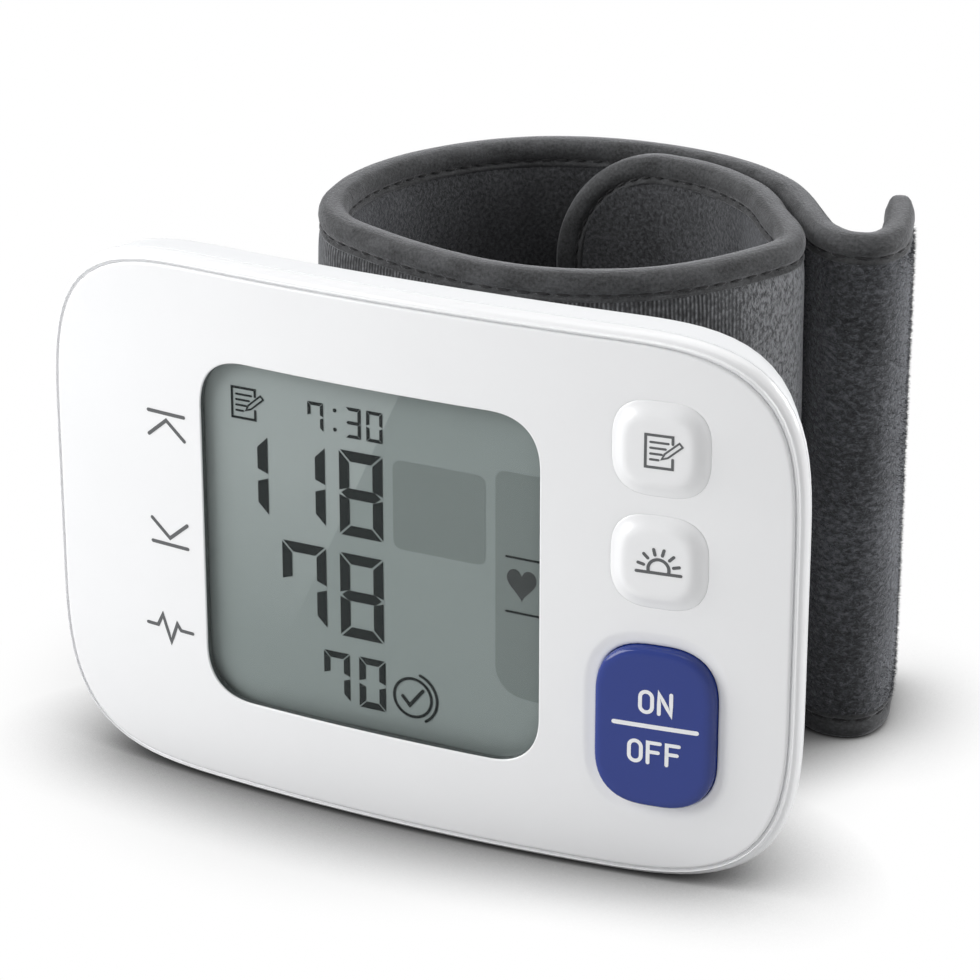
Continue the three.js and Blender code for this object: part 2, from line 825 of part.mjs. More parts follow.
// A screw between the shells
function shellScrew([x, z]) {
  const headFront = seatY + clearance;
  return join(
    barY(screw.headRadius, x, z, headFront, headFront + screw.headHeight),
    barY(screw.shankRadius, x, z, screw.tip, headFront + screw.headHeight / 2),
  );
}

// Cuff path and its bands
const strapPath = new THREE.CatmullRomCurve3(
  strapShares.map(([across, back]) => new THREE.Vector3(
    loop.x + across * loop.width,
    loop.y + back * loop.depth,
    0,
  )),
  false,
  'centripetal',
);
strapPath.arcLengthDivisions = pathDivisions;
const strapLength = strapPath.getLength();

// A point of the path pushed outwards, away from the wrist opening
function strapPoint(share, push) {
  const point = strapPath.getPointAt(share);
  const along = strapPath.getTangentAt(share);
  return new THREE.Vector2(point.x - along.y * push, point.y + along.x * push);
}

// A wall that follows the path between two shares and two pushes
function band(from, to, inner, outer, low, high) {
  const steps = Math.ceil(((to - from) * strapLength) / spanLength);
  const shares = Array.from({ length: steps + 1 }, (_, i) => from + ((to - from) * i) / steps);
  const outside = shares.map((share) => strapPoint(share, outer));
  const inside = shares.map((share) => strapPoint(share, inner)).reverse();
  const outline = [...outside, ...inside];
  if (THREE.ShapeUtils.isClockWise(outline)) outline.reverse();
  return column(outline, low, high);
}

const hingeGap = clearance / 2 / strapLength;
const spans = {
  base: [0, strapHingeShare - hingeGap],
  strap: [strapHingeShare + hingeGap, tailHingeShare - hingeGap],
  tail: [tailHingeShare + hingeGap, 1],
};
const bindingLow = floorZ + bindingHeight;
const bindingHigh = strapTop - bindingHeight;
const clothLow = bindingLow + clearance;
const clothHigh = bindingHigh - clearance;
const strapHeight = strapTop - floorZ;
const strapMiddle = (strapTop + floorZ) / 2;

// What is cut away to round the free end of the inner wrap, and of the tail
function flapTrim(inset) {
  const end = strapPoint(0, 0);
  const tip = end.x;
  const far = tip + loop.width;
  const keep = prism(softOutline({
    halfWidth: (far - tip) / 2 - inset,
    halfHeight: strapHeight / 2 - inset,
    corner: flapCorner - inset,
    power: roundPower,
    x: (tip + far) / 2,
    z: strapMiddle,
  }), -overrun, 2 * loop.depth);
  return cut(box(
    [tip - trimReach, end.y - trimReach, floorZ - overrun],
    [tip + flapCorner, end.y + trimReach, strapTop + overrun],
  ), keep);
}

function tailTrim(inset) {
  const end = strapPoint(1, 0);
  const tip = end.y;
  const near = tip - loop.depth;
  const outline = softOutline({
    halfWidth: (tip - near) / 2 - inset,
    halfHeight: strapHeight / 2 - inset,
    corner: Math.max(tailCorner - inset, tailInnerCorner),
    power: roundPower,
    x: (tip + near) / 2,
    z: strapMiddle,
  });
  const geometry = new THREE.ExtrudeGeometry(new THREE.Shape(outline), {
    depth: 2 * loop.width,
    bevelEnabled: false,
  });
  const keep = solidOf(geometry.rotateX(Math.PI / 2).rotateZ(Math.PI / 2));
  return cut(box(
    [end.x - trimReach, tip - tailCorner, floorZ - overrun],
    [end.x + trimReach, tip + trimReach, strapTop + overrun],
  ), keep);
}

const layer = ([from, to], inner, outer) => band(from, to, inner, outer, clothLow, clothHigh);
const clothEnd = bindingHeight + clearance;
const outerSkin = [strapHalf - skin, strapHalf];
const innerSkin = [-strapHalf, skin - strapHalf];
const curler = [-clearance / 2 + bladderThickness / 2, strapHalf - skin - clearance];
const bladder = [skin - strapHalf + clearance, curler[0] - clearance];
const foam = [skin - strapHalf + clearance, strapHalf - skin - clearance];

// Binding round an end piece: its edges and its free end, open at the hinge
function bindingFrame([from, to], trim) {
  const whole = band(from, to, -bindingHalf, bindingHalf, floorZ, strapTop);
  const pastHinge = overrun / strapLength;
  const wideFrom = Math.max(from - pastHinge, 0);
  const wideTo = Math.min(to + pastHinge, 1);
  const middle = band(wideFrom, wideTo, -cutHalf, cutHalf, bindingLow, bindingHigh);
  return cut(whole, cut(middle, trim(bindingHeight)), trim(0));
}

const strapBinding = (low, high) => band(...spans.strap, -bindingHalf, bindingHalf, low, high);

// Mount plate: it lies in a window of the outer fabric, and its posts pass
// through the rear shell
const platePosts = [-1, 1].flatMap((side) => [-1, 1].map((lift) => [
  portX + side * platePost.x,
  lift * platePost.z,
]));
const plateFront = caseDepth + faceAt(portX + plate.halfWidth) + clearance;

// What lies at or inside the curler's outer face, along the front wall
const curlerSide = band(
  ...frontWallShares,
  -loop.y / 2,
  curler[1] + clearance,
  floorZ - overrun,
  strapTop + overrun,
);

function mountPlate() {
  const slabOfPlate = cut(box(
    [portX - plate.halfWidth, plateFront, -plate.halfHeight],
    [portX + plate.halfWidth, loop.y + strapHalf, plate.halfHeight],
  ), curlerSide);
  const studs = platePosts.map(([x, z]) => (
    barY(plate.postRadius, x, z, innerBack - plate.postReach / 2, plateFront + skin / 2)
  ));
  const port = barY(nipple.radius + clearance, portX, 0, 0, caseDepth + overrun);
  return cut(join(slabOfPlate, ...studs), port);
}

function plateNut([x, z]) {
  const back = innerBack - clearance;
  return cut(
    barY(pushNut.radius, x, z, back - pushNut.thickness, back),
    barY(plate.postRadius + clearance, x, z, 0, caseDepth),
  );
}

function cuffNipple() {
  const front = airY + nipple.seat;
  const back = loop.y - bladder[1] - clearance;
  return cut(
    barY(nipple.radius, portX, 0, front, back),
    barY(nipple.bore, portX, 0, front - overrun, back + overrun),
  );
}

function baseFabric() {
  const window = box(
    [portX - plate.halfWidth - clearance, caseDepth, -plate.halfHeight - clearance],
    [portX + plate.halfWidth + clearance, loop.y + overrun, plate.halfHeight + clearance],
  );
  const frontOnly = common(window, band(...frontWallShares, 0, 2 * strapHalf, floorZ, strapTop));
  return cut(layer(spans.base, ...outerSkin), flapTrim(clothEnd), frontOnly);
}

function curlerPlate() {
  const port = barY(nipple.radius + clearance, portX, 0, caseDepth, loop.y + overrun);
  return cut(layer(curlerShares, ...curler), flapTrim(clothEnd + curlerSetback), port);
}

const bladderSheet = () => (
  cut(layer(bladderShares, ...bladder), flapTrim(clothEnd + curlerSetback))
);
const baseLining = () => cut(layer(spans.base, ...innerSkin), flapTrim(clothEnd));

// Materials
const finish = (color, roughness, metalness = 0) => ({ color, roughness, metalness });
const finishes = {
  whitePlastic: finish(0xebebeb, 0.25),
  bluePlastic: finish(0x3b428a, 0.25),
  clear: finish(0xb9c6c2, 0.05),
  lcd: finish(0x8a9693, 0.4),
  greyPlastic: finish(0x8d9094, 0.5),
  rubber: finish(0x2a2b2d, 0.7),
  boardGreen: finish(0x1f5a3a, 0.5),
  blackPlastic: finish(0x1c1d20, 0.5),
  steel: finish(0xa9abad, 0.3, 0.9),
  nickel: finish(0xc4c2bb, 0.3, 0.9),
  cellJacket: finish(0x4b5058, 0.35),
  tube: finish(0xcfd0cc, 0.5),
  knit: finish(0x5b5d60, 0.95),
  velour: finish(0x35373c, 1.0),
  binding: finish(0x4c4d4f, 0.85),
  hooks: finish(0x3a3c40, 1.0),
};

const monitor = new THREE.Group();

function place(name, solid, look) {
  const mesh = new THREE.Mesh(geometryOf(solid), new THREE.MeshStandardMaterial(finishes[look]));
  mesh.name = name;
  monitor.add(mesh);
}

// Case
place('face_plate', facePlate(), 'whitePlastic');
place('front_shell', frontShell(), 'whitePlastic');
place('rear_shell', rearShell(), 'whitePlastic');
place('battery_door', batteryDoor(), 'whitePlastic');
place('display_window', viewLens(), 'clear');
posts.forEach((spot, i) => place(`shell_screw_${i + 1}`, shellScrew(spot), 'steel'));

// Keys and their switches
for (const [name, key] of Object.entries(keys)) {
  place(`${name}_button`, keySolid(key), name === 'start' ? 'bluePlastic' : 'whitePlastic');
  place(`${name}_switch`, domeSwitch(key), 'steel');
}

// Display and board
place('display_panel', displayPanel(), 'lcd');
place('display_holder', displayHolder(), 'greyPlastic');
place('display_connector', zebraStrip(), 'rubber');
place('main_board', mainBoard(), 'boardGreen');
place('controller_chip', controllerChip(), 'blackPlastic');
place('buzzer', buzzerDisc(), 'nickel');

// Batteries
cellPlaces.forEach((spot, i) => {
  const number = i + 1;
  place(`battery_cell_${number}`, batteryCell(spot), 'cellJacket');
  place(`battery_spring_${number}`, cellSpring(spot), 'steel');
  place(`spring_contact_${number}`, contactPlate(spot.x, -spot.up, bay.springStop), 'nickel');
  place(`nub_contact_${number}`, contactPlate(spot.x, spot.up, bay.nubStop), 'nickel');
});

// Air system
place('pump_motor', pumpMotor(), 'steel');
place('pump_head', pumpHead(), 'blackPlastic');
place('pump_crank', pumpCrank(), 'steel');
place('pump_diaphragm', pumpDiaphragm(), 'rubber');
place('valve_body', valveBody(), 'steel');
place('valve_plunger', valvePlunger(), 'steel');
place('valve_spring', valveCoil(), 'steel');
place('valve_cap', valveLid(), 'blackPlastic');
place('pressure_sensor', pressureSensor(), 'nickel');
place('air_manifold', airManifold(), 'tube');
place('cuff_nipple', cuffNipple(), 'greyPlastic');

// Cuff
place('mount_plate', mountPlate(), 'greyPlastic');
platePosts.forEach((spot, i) => place(`push_nut_${i + 1}`, plateNut(spot), 'steel'));
place('cuff_fabric', baseFabric(), 'knit');
place('cuff_curler', curlerPlate(), 'greyPlastic');
place('air_bladder', bladderSheet(), 'greyPlastic');
place('cuff_lining', baseLining(), 'velour');
place('cuff_binding', bindingFrame(spans.base, flapTrim), 'binding');
place('strap_fabric', layer(spans.strap, ...outerSkin), 'knit');
place('strap_foam', layer(spans.strap, ...foam), 'greyPlastic');
place('strap_lining', layer(spans.strap, ...innerSkin), 'velour');
place('strap_binding_top', strapBinding(bindingHigh, strapTop), 'binding');
place('strap_binding_bottom', strapBinding(floorZ, bindingLow), 'binding');
place('tail_fabric', cut(layer(spans.tail, ...outerSkin), tailTrim(clothEnd)), 'knit');
place('tail_foam', cut(layer(spans.tail, ...foam), tailTrim(clothEnd)), 'greyPlastic');
place('tail_hook_patch', cut(layer(spans.tail, ...innerSkin), tailTrim(clothEnd)), 'hooks');
place('tail_binding', bindingFrame(spans.tail, tailTrim), 'binding');

// The origin is on the floor, under the middle of the whole
const backmost = Math.max(...Array.from({ length: pathSamples + 1 }, (_, i) => (
  strapPoint(i / pathSamples, bindingHalf).y
)));
const model = new THREE.Group();
model.add(monitor);
monitor.position.set(0, -backmost / 2, -floorZ);

export default model;
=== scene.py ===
import math
from functools import partial, reduce
from itertools import product

import bmesh
import bpy
import numpy as np
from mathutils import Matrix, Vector
from mathutils.geometry import delaunay_2d_cdt


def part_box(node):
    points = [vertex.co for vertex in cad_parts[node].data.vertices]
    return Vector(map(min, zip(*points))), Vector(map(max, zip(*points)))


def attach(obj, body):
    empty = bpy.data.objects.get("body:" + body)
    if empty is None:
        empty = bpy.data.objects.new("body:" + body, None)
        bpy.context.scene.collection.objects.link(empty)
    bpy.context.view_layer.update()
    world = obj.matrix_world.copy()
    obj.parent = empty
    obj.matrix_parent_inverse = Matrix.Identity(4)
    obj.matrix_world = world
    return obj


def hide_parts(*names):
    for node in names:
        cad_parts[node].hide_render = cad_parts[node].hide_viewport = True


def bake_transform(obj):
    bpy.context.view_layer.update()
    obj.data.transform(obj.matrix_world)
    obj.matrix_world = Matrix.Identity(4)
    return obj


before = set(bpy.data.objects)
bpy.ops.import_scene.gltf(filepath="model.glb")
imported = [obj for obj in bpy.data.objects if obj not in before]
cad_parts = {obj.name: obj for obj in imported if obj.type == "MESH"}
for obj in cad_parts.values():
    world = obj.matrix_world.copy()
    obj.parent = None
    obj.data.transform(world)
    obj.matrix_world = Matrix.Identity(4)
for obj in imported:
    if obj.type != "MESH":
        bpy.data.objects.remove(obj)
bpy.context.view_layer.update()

# Millimetres in the face frame: the origin is the middle of the face, +Y runs
# back from it and +Z up. MM and ORIGIN carry a point into the row frame.
MM = 0.001
FLOOR_Z = -31.07
ORIGIN = np.array([0.0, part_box("face_plate")[0].y / MM, -FLOOR_Z])

# Case sizes, as in the CAD. FLANK holds, for shares of the depth, how far the
# side and the top stand out from the face's outline, as shares of the depth.
FACE_RADIUS = 255.0
PART_RADIUS = 292.0
FACE = dict(half_width=44.34, half_height=30.07, corner=22.1, power=3.5, crown=0.35)
DEPTH = 15.2
WALL = 1.4
PART_DEPTH = 2.1
GROOVE = 0.15
LEDGE_DEPTH = 1.2
PLATE = 0.9
FLANK = np.array([
    (0.0, 0.012, 0.012), (0.03, 0.033, 0.033), (0.06, 0.054, 0.056), (0.1, 0.063, 0.069),
    (0.145, 0.053, 0.071), (0.24, -0.004, 0.071), (0.355, -0.072, 0.066),
    (0.49, -0.158, 0.002), (0.625, -0.25, -0.08), (0.87, -0.47, -0.28),
    (0.95, -0.6, -0.43), (1.0, -0.72, -0.62), (1.1, -0.95, -0.92),
])
VIEW = dict(half_width=20.6, half_height=20.1, corner=6.2, power=2.5, x=-3.64, z=0.09)
SMALL_KEY = dict(half_width=5.3, half_height=5.25, corner=4.6, power=2.6)
START_KEY = dict(half_width=6.55, half_height=9.2, corner=6.0, power=2.5)
KEYS = {
    "memory": dict(SMALL_KEY, x=30.15, z=18.7),
    "morning": dict(SMALL_KEY, x=30.15, z=6.1),
    "start": dict(START_KEY, x=30.15, z=-12.7),
}
PROUD = {"memory": 0.8, "morning": 0.8, "start": 1.1}
LCD_FRONT = 2.45
BURIED = WALL * 0.6  # inner parts end inside the wall
DOOR = dict(left=-36.35, right=-15.4, low=-22.85, front=10.0, wall=1.2, x=-26.05)
POSTS = [(x, z) for x in (-11.3, 21.5) for z in (25.5, -25.5)]
WELL_RADIUS = 2.1
BEYOND = dict(y=30, z=40)  # cutters end well outside the case

# Cuff sizes, as in the CAD
LOOP = dict(width=52.8, depth=47.0, x=1.9, y=17.5)
STRAP_SHARES = [
    (-0.2, 0.872), (-0.09, 0.911), (0.03, 0.923), (0.165, 0.898), (0.309, 0.796),
    (0.408, 0.653), (0.475, 0.549), (0.502, 0.455), (0.466, 0.336), (0.396, 0.203),
    (0.306, 0.1), (0.171, 0.023), (0.012, 0.0), (-0.158, 0.034), (-0.284, 0.081),
    (-0.396, 0.143), (-0.468, 0.25), (-0.5, 0.4), (-0.496, 0.52), (-0.457, 0.668),
    (-0.379, 0.806), (-0.279, 0.909), (-0.167, 0.969), (-0.036, 0.998), (0.104, 0.992),
    (0.235, 0.949), (0.358, 0.857), (0.443, 0.74), (0.496, 0.657), (0.543, 0.594),
    (0.6, 0.562), (0.654, 0.58), (0.672, 0.642), (0.655, 0.735), (0.622, 0.845), (0.591, 0.94),
]
STRAP_TOP = 30.0
STRAP_RUN = 220.9
BASE_END = STRAP_RUN * 0.53
STRAP_END = STRAP_RUN * 0.858
FLAP_CORNER = 13.5
TAIL_CORNER = 3.4
TIP_REACH = 6.0
TIP_SLIM = 0.5
TIP_ROUND = 2.8


# ---------------------------------------------------------------- mesh helpers

def to_world(points):
    return (np.asarray(points, float) + ORIGIN) * MM


def xyz(x, y, z):
    """Points from coordinates, of which some may be single numbers."""
    return np.stack(np.broadcast_arrays(x, y, z), -1).astype(float)


def turns(count):
    """Cosines and sines round a full circle."""
    turn = np.linspace(0, 2 * math.pi, count, endpoint=False)
    return np.cos(turn), np.sin(turn)


def run_along(points):
    """The distance along a line at each of its points."""
    steps = np.linalg.norm(np.diff(points, axis=0), axis=1)
    return np.concatenate([[0], np.cumsum(steps)])


def set_sharp(piece, angle):
    piece.data.set_sharp_from_angle(angle=math.radians(angle))
    return piece


def fix_normals(piece):
    work = bmesh.new()
    work.from_mesh(piece.data)
    bmesh.ops.recalc_face_normals(work, faces=work.faces)
    work.to_mesh(piece.data)
    work.free()
    return piece


def collect(name, points, faces, smooth=True, uv=None, fix=True):
    """A mesh object from points in millimetres. uv holds one pair for each point."""
    mesh = bpy.data.meshes.new(name)
    mesh.from_pydata(to_world(points).tolist(), [], faces)
    mesh.update()
    if uv is not None:
        layer = mesh.uv_layers.new(name="cloth")
        corner = np.zeros(len(mesh.loops), np.int32)
        mesh.loops.foreach_get("vertex_index", corner)
        layer.data.foreach_set("uv", (uv[corner] * MM).astype(np.float32).ravel())
    mesh.polygons.foreach_set("use_smooth", [smooth] * len(mesh.polygons))
    made = bpy.data.objects.new(name, mesh)
    bpy.context.scene.collection.objects.link(made)
    return fix_normals(made) if fix else made


def weld(points, faces, gap=1e-4):
    """Joins points that share a place."""
    key = np.round(points / gap).astype(np.int64)
    _, first, back = np.unique(key, axis=0, return_index=True, return_inverse=True)
    back = back.ravel()
    kept = []
    for f in faces:
        g = [int(back[i]) for i in f]
        g = [v for i, v in enumerate(g) if v != g[i - 1]]
        if len(set(g)) > 2:
            kept.append(g)
    return points[first], kept


class Form:
    """Points, faces and cloth coordinates of a piece, gathered part by part."""

    def __init__(self):
        self.points, self.faces, self.uv, self.count = [], [], [], 0

    def add(self, points, faces, uv=None):
        self.faces += [[self.count + int(i) for i in f] for f in faces]
        self.points.append(points)
        self.count += len(points)
        if uv is not None:
            self.uv.append(uv)
        return self

    def rings(self, rings, closed=True, caps=(), uv=None):
        """Joins rows of equally many points. caps lists the rows that get a lid."""
        rows, count = len(rings), len(rings[0])
        faces = []
        for a in range(0, (rows - 1) * count, count):
            for i in range(count if closed else count - 1):
                j = (i + 1) % count
                faces.append((a + i, a + j, a + count + j, a + count + i))
        for row in caps:
            start = row % rows * count
            faces.append(range(start, start + count))
        return self.add(np.concatenate(rings), faces, uv)

    def sweep(self, outline, rows):
        """Rings of an outline, let out by a reach of its own at each depth."""
        outlines = [outline(reach) for reach, _ in rows]
        self.rings([ring_at(o, depth) for o, (_, depth) in zip(outlines, rows)])
        return outlines

    def fill(self, outline, depth, spacing, holes=()):
        """Triangles inside an outline, at a depth behind the face's arc."""
        verts, tris = filled(outline, holes, spacing)
        return self.add(ring_at(verts, depth), tris)

    def piece(self, name, welded=False, **how):
        points, faces = np.concatenate(self.points), self.faces
        if welded:
            points, faces = weld(points, faces)
        uv = np.concatenate(self.uv) if self.uv else None
        return collect(name, points, faces, uv=uv, **how)


def soft_outline(half_width, half_height, corner, power, crown=0.0, x=0.0, z=0.0,
                 corner_steps=22, across=26, up=14):
    """A rounded outline with soft corners, always with the same number of points."""
    reach = min(corner, half_width, half_height)
    turn = np.linspace(0, math.pi / 2, 900)
    fx, fz = np.cos(turn).clip(0) ** (2 / power), np.sin(turn) ** (2 / power)
    run = np.concatenate([[0], np.cumsum(np.hypot(np.diff(fx), np.diff(fz)))])
    at = np.linspace(0, run[-1], corner_steps + 1)
    cx, cz = np.interp(at, run, fx), np.interp(at, run, fz)
    px = half_width - reach + reach * cx
    pz = half_height - reach + reach * cz
    side = np.linspace(0, half_height - reach, up // 2 + 1)[:-1]
    top = np.linspace(half_width - reach, 0, across // 2 + 1)[1:]
    qx = np.concatenate([np.full(len(side), half_width), px, top])
    qz = np.concatenate([side, pz, np.full(len(top), half_height)])
    qz = qz - crown * (qx / half_width) ** 2 * (qz > 0)
    left = np.stack([-qx[:-1][::-1], qz[:-1][::-1]], 1)
    upper = np.concatenate([np.stack([qx, qz], 1), left])
    whole = np.concatenate([upper, -upper[1:-1]])
    return whole + np.array([x, z])


def face_y(x, radius=FACE_RADIUS):
    return x**2 / (2 * radius)


def face_outline(side, top=None):
    top = side if top is None else top
    return soft_outline(
        FACE["half_width"] + side, FACE["half_height"] + top,
        FACE["corner"] + min(side, top), FACE["power"], FACE["crown"],
    )


def let_out(shape, reach, **steps):
    corner = max(shape["corner"] + reach, shape["corner"] * 0.35)
    grown = dict(shape, half_width=shape["half_width"] + reach,
                 half_height=shape["half_height"] + reach, corner=corner)
    return soft_outline(**grown, **steps)


window_outline = partial(let_out, VIEW, corner_steps=16, across=14, up=14)


def hermite(rows, at):
    """The row of a table at another place, smooth and with no overshoot."""
    x, y = rows[:, 0], rows[:, 1:]
    h = np.diff(x)[:, None]
    d = np.diff(y, axis=0) / h
    m = np.zeros_like(y)
    m[0], m[-1] = d[0], d[-1]
    same = d[:-1] * d[1:] > 0
    safe = np.where(same, d[:-1] + d[1:], 1)
    m[1:-1] = np.where(same, 2 * d[:-1] * d[1:] / safe, 0)
    k = int(np.clip(np.searchsorted(x, at) - 1, 0, len(x) - 2))
    t = (at - x[k]) / (x[k + 1] - x[k])
    h = h[k]
    return ((2 * t**3 - 3 * t**2 + 1) * y[k] + (t**3 - 2 * t**2 + t) * h * m[k]
            + (-2 * t**3 + 3 * t**2) * y[k + 1] + (t**3 - t**2) * h * m[k + 1])


FLANK_DEPTHS = np.linspace(0, DEPTH * 1.02, 64)
FLANK_TABLE = np.stack([face_outline(*hermite(FLANK, d / DEPTH) * DEPTH) for d in FLANK_DEPTHS])
FLANK_COUNT = FLANK_TABLE.shape[1]


def flank_points(depth, inset=0.0):
    """One ring on the flank, at a depth of its own for each point."""
    depth = np.broadcast_to(depth, FLANK_COUNT)
    at = np.clip(depth / FLANK_DEPTHS[1], 0, len(FLANK_DEPTHS) - 1.001)
    k = at.astype(int)
    t = (at - k)[:, None]
    i = np.arange(FLANK_COUNT)
    ring = FLANK_TABLE[k, i] * (1 - t) + FLANK_TABLE[k + 1, i] * t
    along = np.roll(ring, -1, 0) - np.roll(ring, 1, 0)
    along /= np.linalg.norm(along, axis=1, keepdims=True)
    return ring - inset * np.stack([along[:, 1], -along[:, 0]], 1)


def ring_at(ring, depth):
    """An outline at a depth behind the face's arc, cut off at the floor."""
    return xyz(ring[:, 0], depth + face_y(ring[:, 0]), np.maximum(ring[:, 1], FLOOR_Z))


def flank_ring(depth, inset=0.0):
    return ring_at(flank_points(depth, inset), depth)


def parting(ring):
    x = ring[:, 0]
    return PART_DEPTH + face_y(x, PART_RADIUS) - face_y(x)


def inside(points, outline):
    """Which points lie inside an outline, by counting crossings."""
    x, z = points[:, 0][:, None], points[:, 1][:, None]
    ax, az = outline[:, 0][None], outline[:, 1][None]
    bx, bz = np.roll(ax, -1), np.roll(az, -1)
    crosses = (az > z) != (bz > z)
    with np.errstate(divide="ignore", invalid="ignore"):
        where = ax + (z - az) * (bx - ax) / (bz - az)
    return (np.sum(crosses & (x < where), 1) % 2) == 1


def filled(outer, holes, spacing):
    """Triangles that fill an outline, round its holes, with points spread inside."""
    def within(points):
        keep = inside(points, outer)
        for h in holes:
            keep &= ~inside(points, h)
        return keep

    low, high = outer.min(0), outer.max(0)
    axes = [np.arange(low[i], high[i], spacing) for i in (0, 1)]
    grid = np.stack(np.meshgrid(*axes), -1).reshape(-1, 2)
    odd = (np.round((grid[:, 1] - low[1]) / spacing) % 2) > 0
    grid[:, 0] += np.where(odd, spacing / 2, 0)
    loops = [outer, *holes]
    border = np.concatenate(loops)
    near = np.array([np.min(np.hypot(*(border - g).T)) for g in grid])
    grid = grid[(near > spacing * 0.55) & within(grid)]
    points = np.concatenate([border, grid])
    edges, start = [], 0
    for loop in loops:
        n = len(loop)
        edges += [(start + i, start + (i + 1) % n) for i in range(n)]
        start += n
    found = delaunay_2d_cdt([Vector(p) for p in points], edges, [], 0, 1e-7)
    verts = np.array([tuple(v) for v in found[0]])
    faces = np.array([f for f in found[2] if len(f) == 3])
    faces = faces[within(verts[faces].mean(1))]
    a, b, c = (verts[faces[:, i]] for i in range(3))
    turn = (b[:, 0] - a[:, 0]) * (c[:, 1] - a[:, 1]) - (b[:, 1] - a[:, 1]) * (c[:, 0] - a[:, 0])
    faces[turn < 0] = faces[turn < 0][:, ::-1]
    return verts, faces


def bake(piece):
    """Turns the piece's modifiers into its mesh."""
    bpy.context.view_layer.update()
    graph = bpy.context.evaluated_depsgraph_get()
    mesh = bpy.data.meshes.new_from_object(piece.evaluated_get(graph))
    piece.modifiers.clear()
    piece.data = mesh


def boolean(piece, cutter, kind="DIFFERENCE"):
    step = piece.modifiers.new("cut", "BOOLEAN")
    step.operation, step.solver, step.object = kind, "EXACT", cutter
    bake(piece)
    bpy.data.objects.remove(cutter)


def brick(low, high):
    sides = [(0, 1, 3, 2), (4, 6, 7, 5), (0, 4, 5, 1), (2, 3, 7, 6), (0, 2, 6, 4), (1, 5, 7, 3)]
    return collect("cutter", list(product(*zip(low, high))), sides, smooth=False, fix=False)


def finish_brick(piece, name, body, bevel, segments):
    piece.name = name
    ease = piece.modifiers.new("ease", "BEVEL")
    ease.width, ease.segments = bevel, segments
    dress(piece, "white_satin", body)


def rod(radius, x, z, front, back, count=40):
    c, s = turns(count)
    rings = [xyz(x + radius * c, y, z + radius * s) for y in (front, back)]
    form = Form().rings(rings, caps=(1,))
    form.faces.insert(count, list(range(count))[::-1])
    return form.piece("cutter", fix=False)


# ------------------------------------------------------------------- materials

class Nodes:
    """A node tree. Inputs are given as numbers, colours, vectors or sockets."""

    def __init__(self, tree):
        self.tree = tree

    def put(self, socket, value):
        if isinstance(value, bpy.types.NodeSocket):
            self.tree.links.new(value, socket)
        else:
            socket.default_value = (*value, 1) if socket.type == "RGBA" else value

    def add(self, kind, inputs=None, **props):
        node = self.tree.nodes.new("ShaderNode" + kind)
        for name, value in props.items():
            setattr(node, name, value)
        for key, value in (inputs or {}).items():
            self.put(node.inputs[key], value)
        return node

    def where(self, kind="Object"):
        return self.add("TexCoord").outputs[kind]

    def noise(self, vector, scale, detail=3.0, rough=0.5, distortion=0.0):
        inputs = {"Vector": vector, "Scale": scale, "Detail": detail, "Roughness": rough,
                  "Distortion": distortion}
        return self.add("TexNoise", inputs).outputs["Fac"]

    def stretched(self, vector, scales, *args, turn=(0, 0, 0), **how):
        """Noise with a scale of its own along each axis."""
        mapped = self.add("Mapping", {"Vector": vector, "Scale": scales, "Rotation": turn})
        return self.noise(mapped.outputs["Vector"], 1, *args, **how)

    def ramp(self, value, stops):
        node = self.add("ValToRGB", {"Fac": value})
        band = node.color_ramp
        while len(band.elements) < len(stops):
            band.elements.new(0.5)
        for element, (place, shade) in zip(band.elements, stops):
            element.position = place
            element.color = (*shade, 1) if np.shape(shade) else (shade, shade, shade, 1)
        return node.outputs["Color"]

    def span(self, value, ends, start=(0, 1), kind="LINEAR"):
        """Maps the range start onto the range ends."""
        inputs = {"Value": value, "From Min": start[0], "From Max": start[1],
                  "To Min": ends[0], "To Max": ends[1]}
        return self.add("MapRange", inputs, interpolation_type=kind).outputs["Result"]

    def math(self, kind, *values):
        return self.add("Math", dict(enumerate(values)), operation=kind).outputs[0]

    def total(self, *parts):
        """The sum of values, each times a weight."""
        terms = [self.math("MULTIPLY", value, weight) for value, weight in parts]
        return reduce(partial(self.math, "ADD"), terms)

    def mix(self, factor, a, b):
        return self.add("Mix", {0: factor, 6: a, 7: b}, data_type="RGBA").outputs[2]

    def mix_shader(self, factor, a, b):
        return self.add("MixShader", {0: factor, 1: a.outputs[0], 2: b.outputs[0]}).outputs[0]


class Paint(Nodes):
    """A node material: a Principled shader and what feeds it."""

    def __init__(self, name, color, roughness, metallic=0.0, **sockets):
        self.material = bpy.data.materials.new(name)
        self.material.use_nodes = True
        super().__init__(self.material.node_tree)
        self.shader = self.tree.nodes["Principled BSDF"]
        self.color = color
        self.feed(**{"Base Color": color, "Roughness": roughness, "Metallic": metallic,
                     **sockets})

    def feed(self, **sockets):
        for key, value in sockets.items():
            self.put(self.shader.inputs[key], value)

    def colored(self, value):
        self.feed(**{"Base Color": value})

    def tint(self, factor, low, high):
        """The base colour runs from low to high times its own colour."""
        self.colored(self.mix(factor, times(self.color, low), times(self.color, high)))

    def rough(self, factor, low, high):
        self.feed(Roughness=self.span(factor, (low, high)))

    def bump(self, height, distance, strength=1.0):
        inputs = {"Height": height, "Distance": distance, "Strength": strength}
        self.feed(Normal=self.add("Bump", inputs).outputs["Normal"])

    def show(self, shader):
        self.put(self.tree.nodes["Material Output"].inputs["Surface"], shader)


def times(color, factor):
    return tuple(min(c * factor, 1) for c in color)


def sheen(weight, rough, tint):
    return {"Sheen Weight": weight, "Sheen Roughness": rough, "Sheen Tint": tint}


def specular(level):
    return {"Specular IOR Level": level}


FINE, COARSE, COARSEST = 0.000004, 0.00001, 0.00002


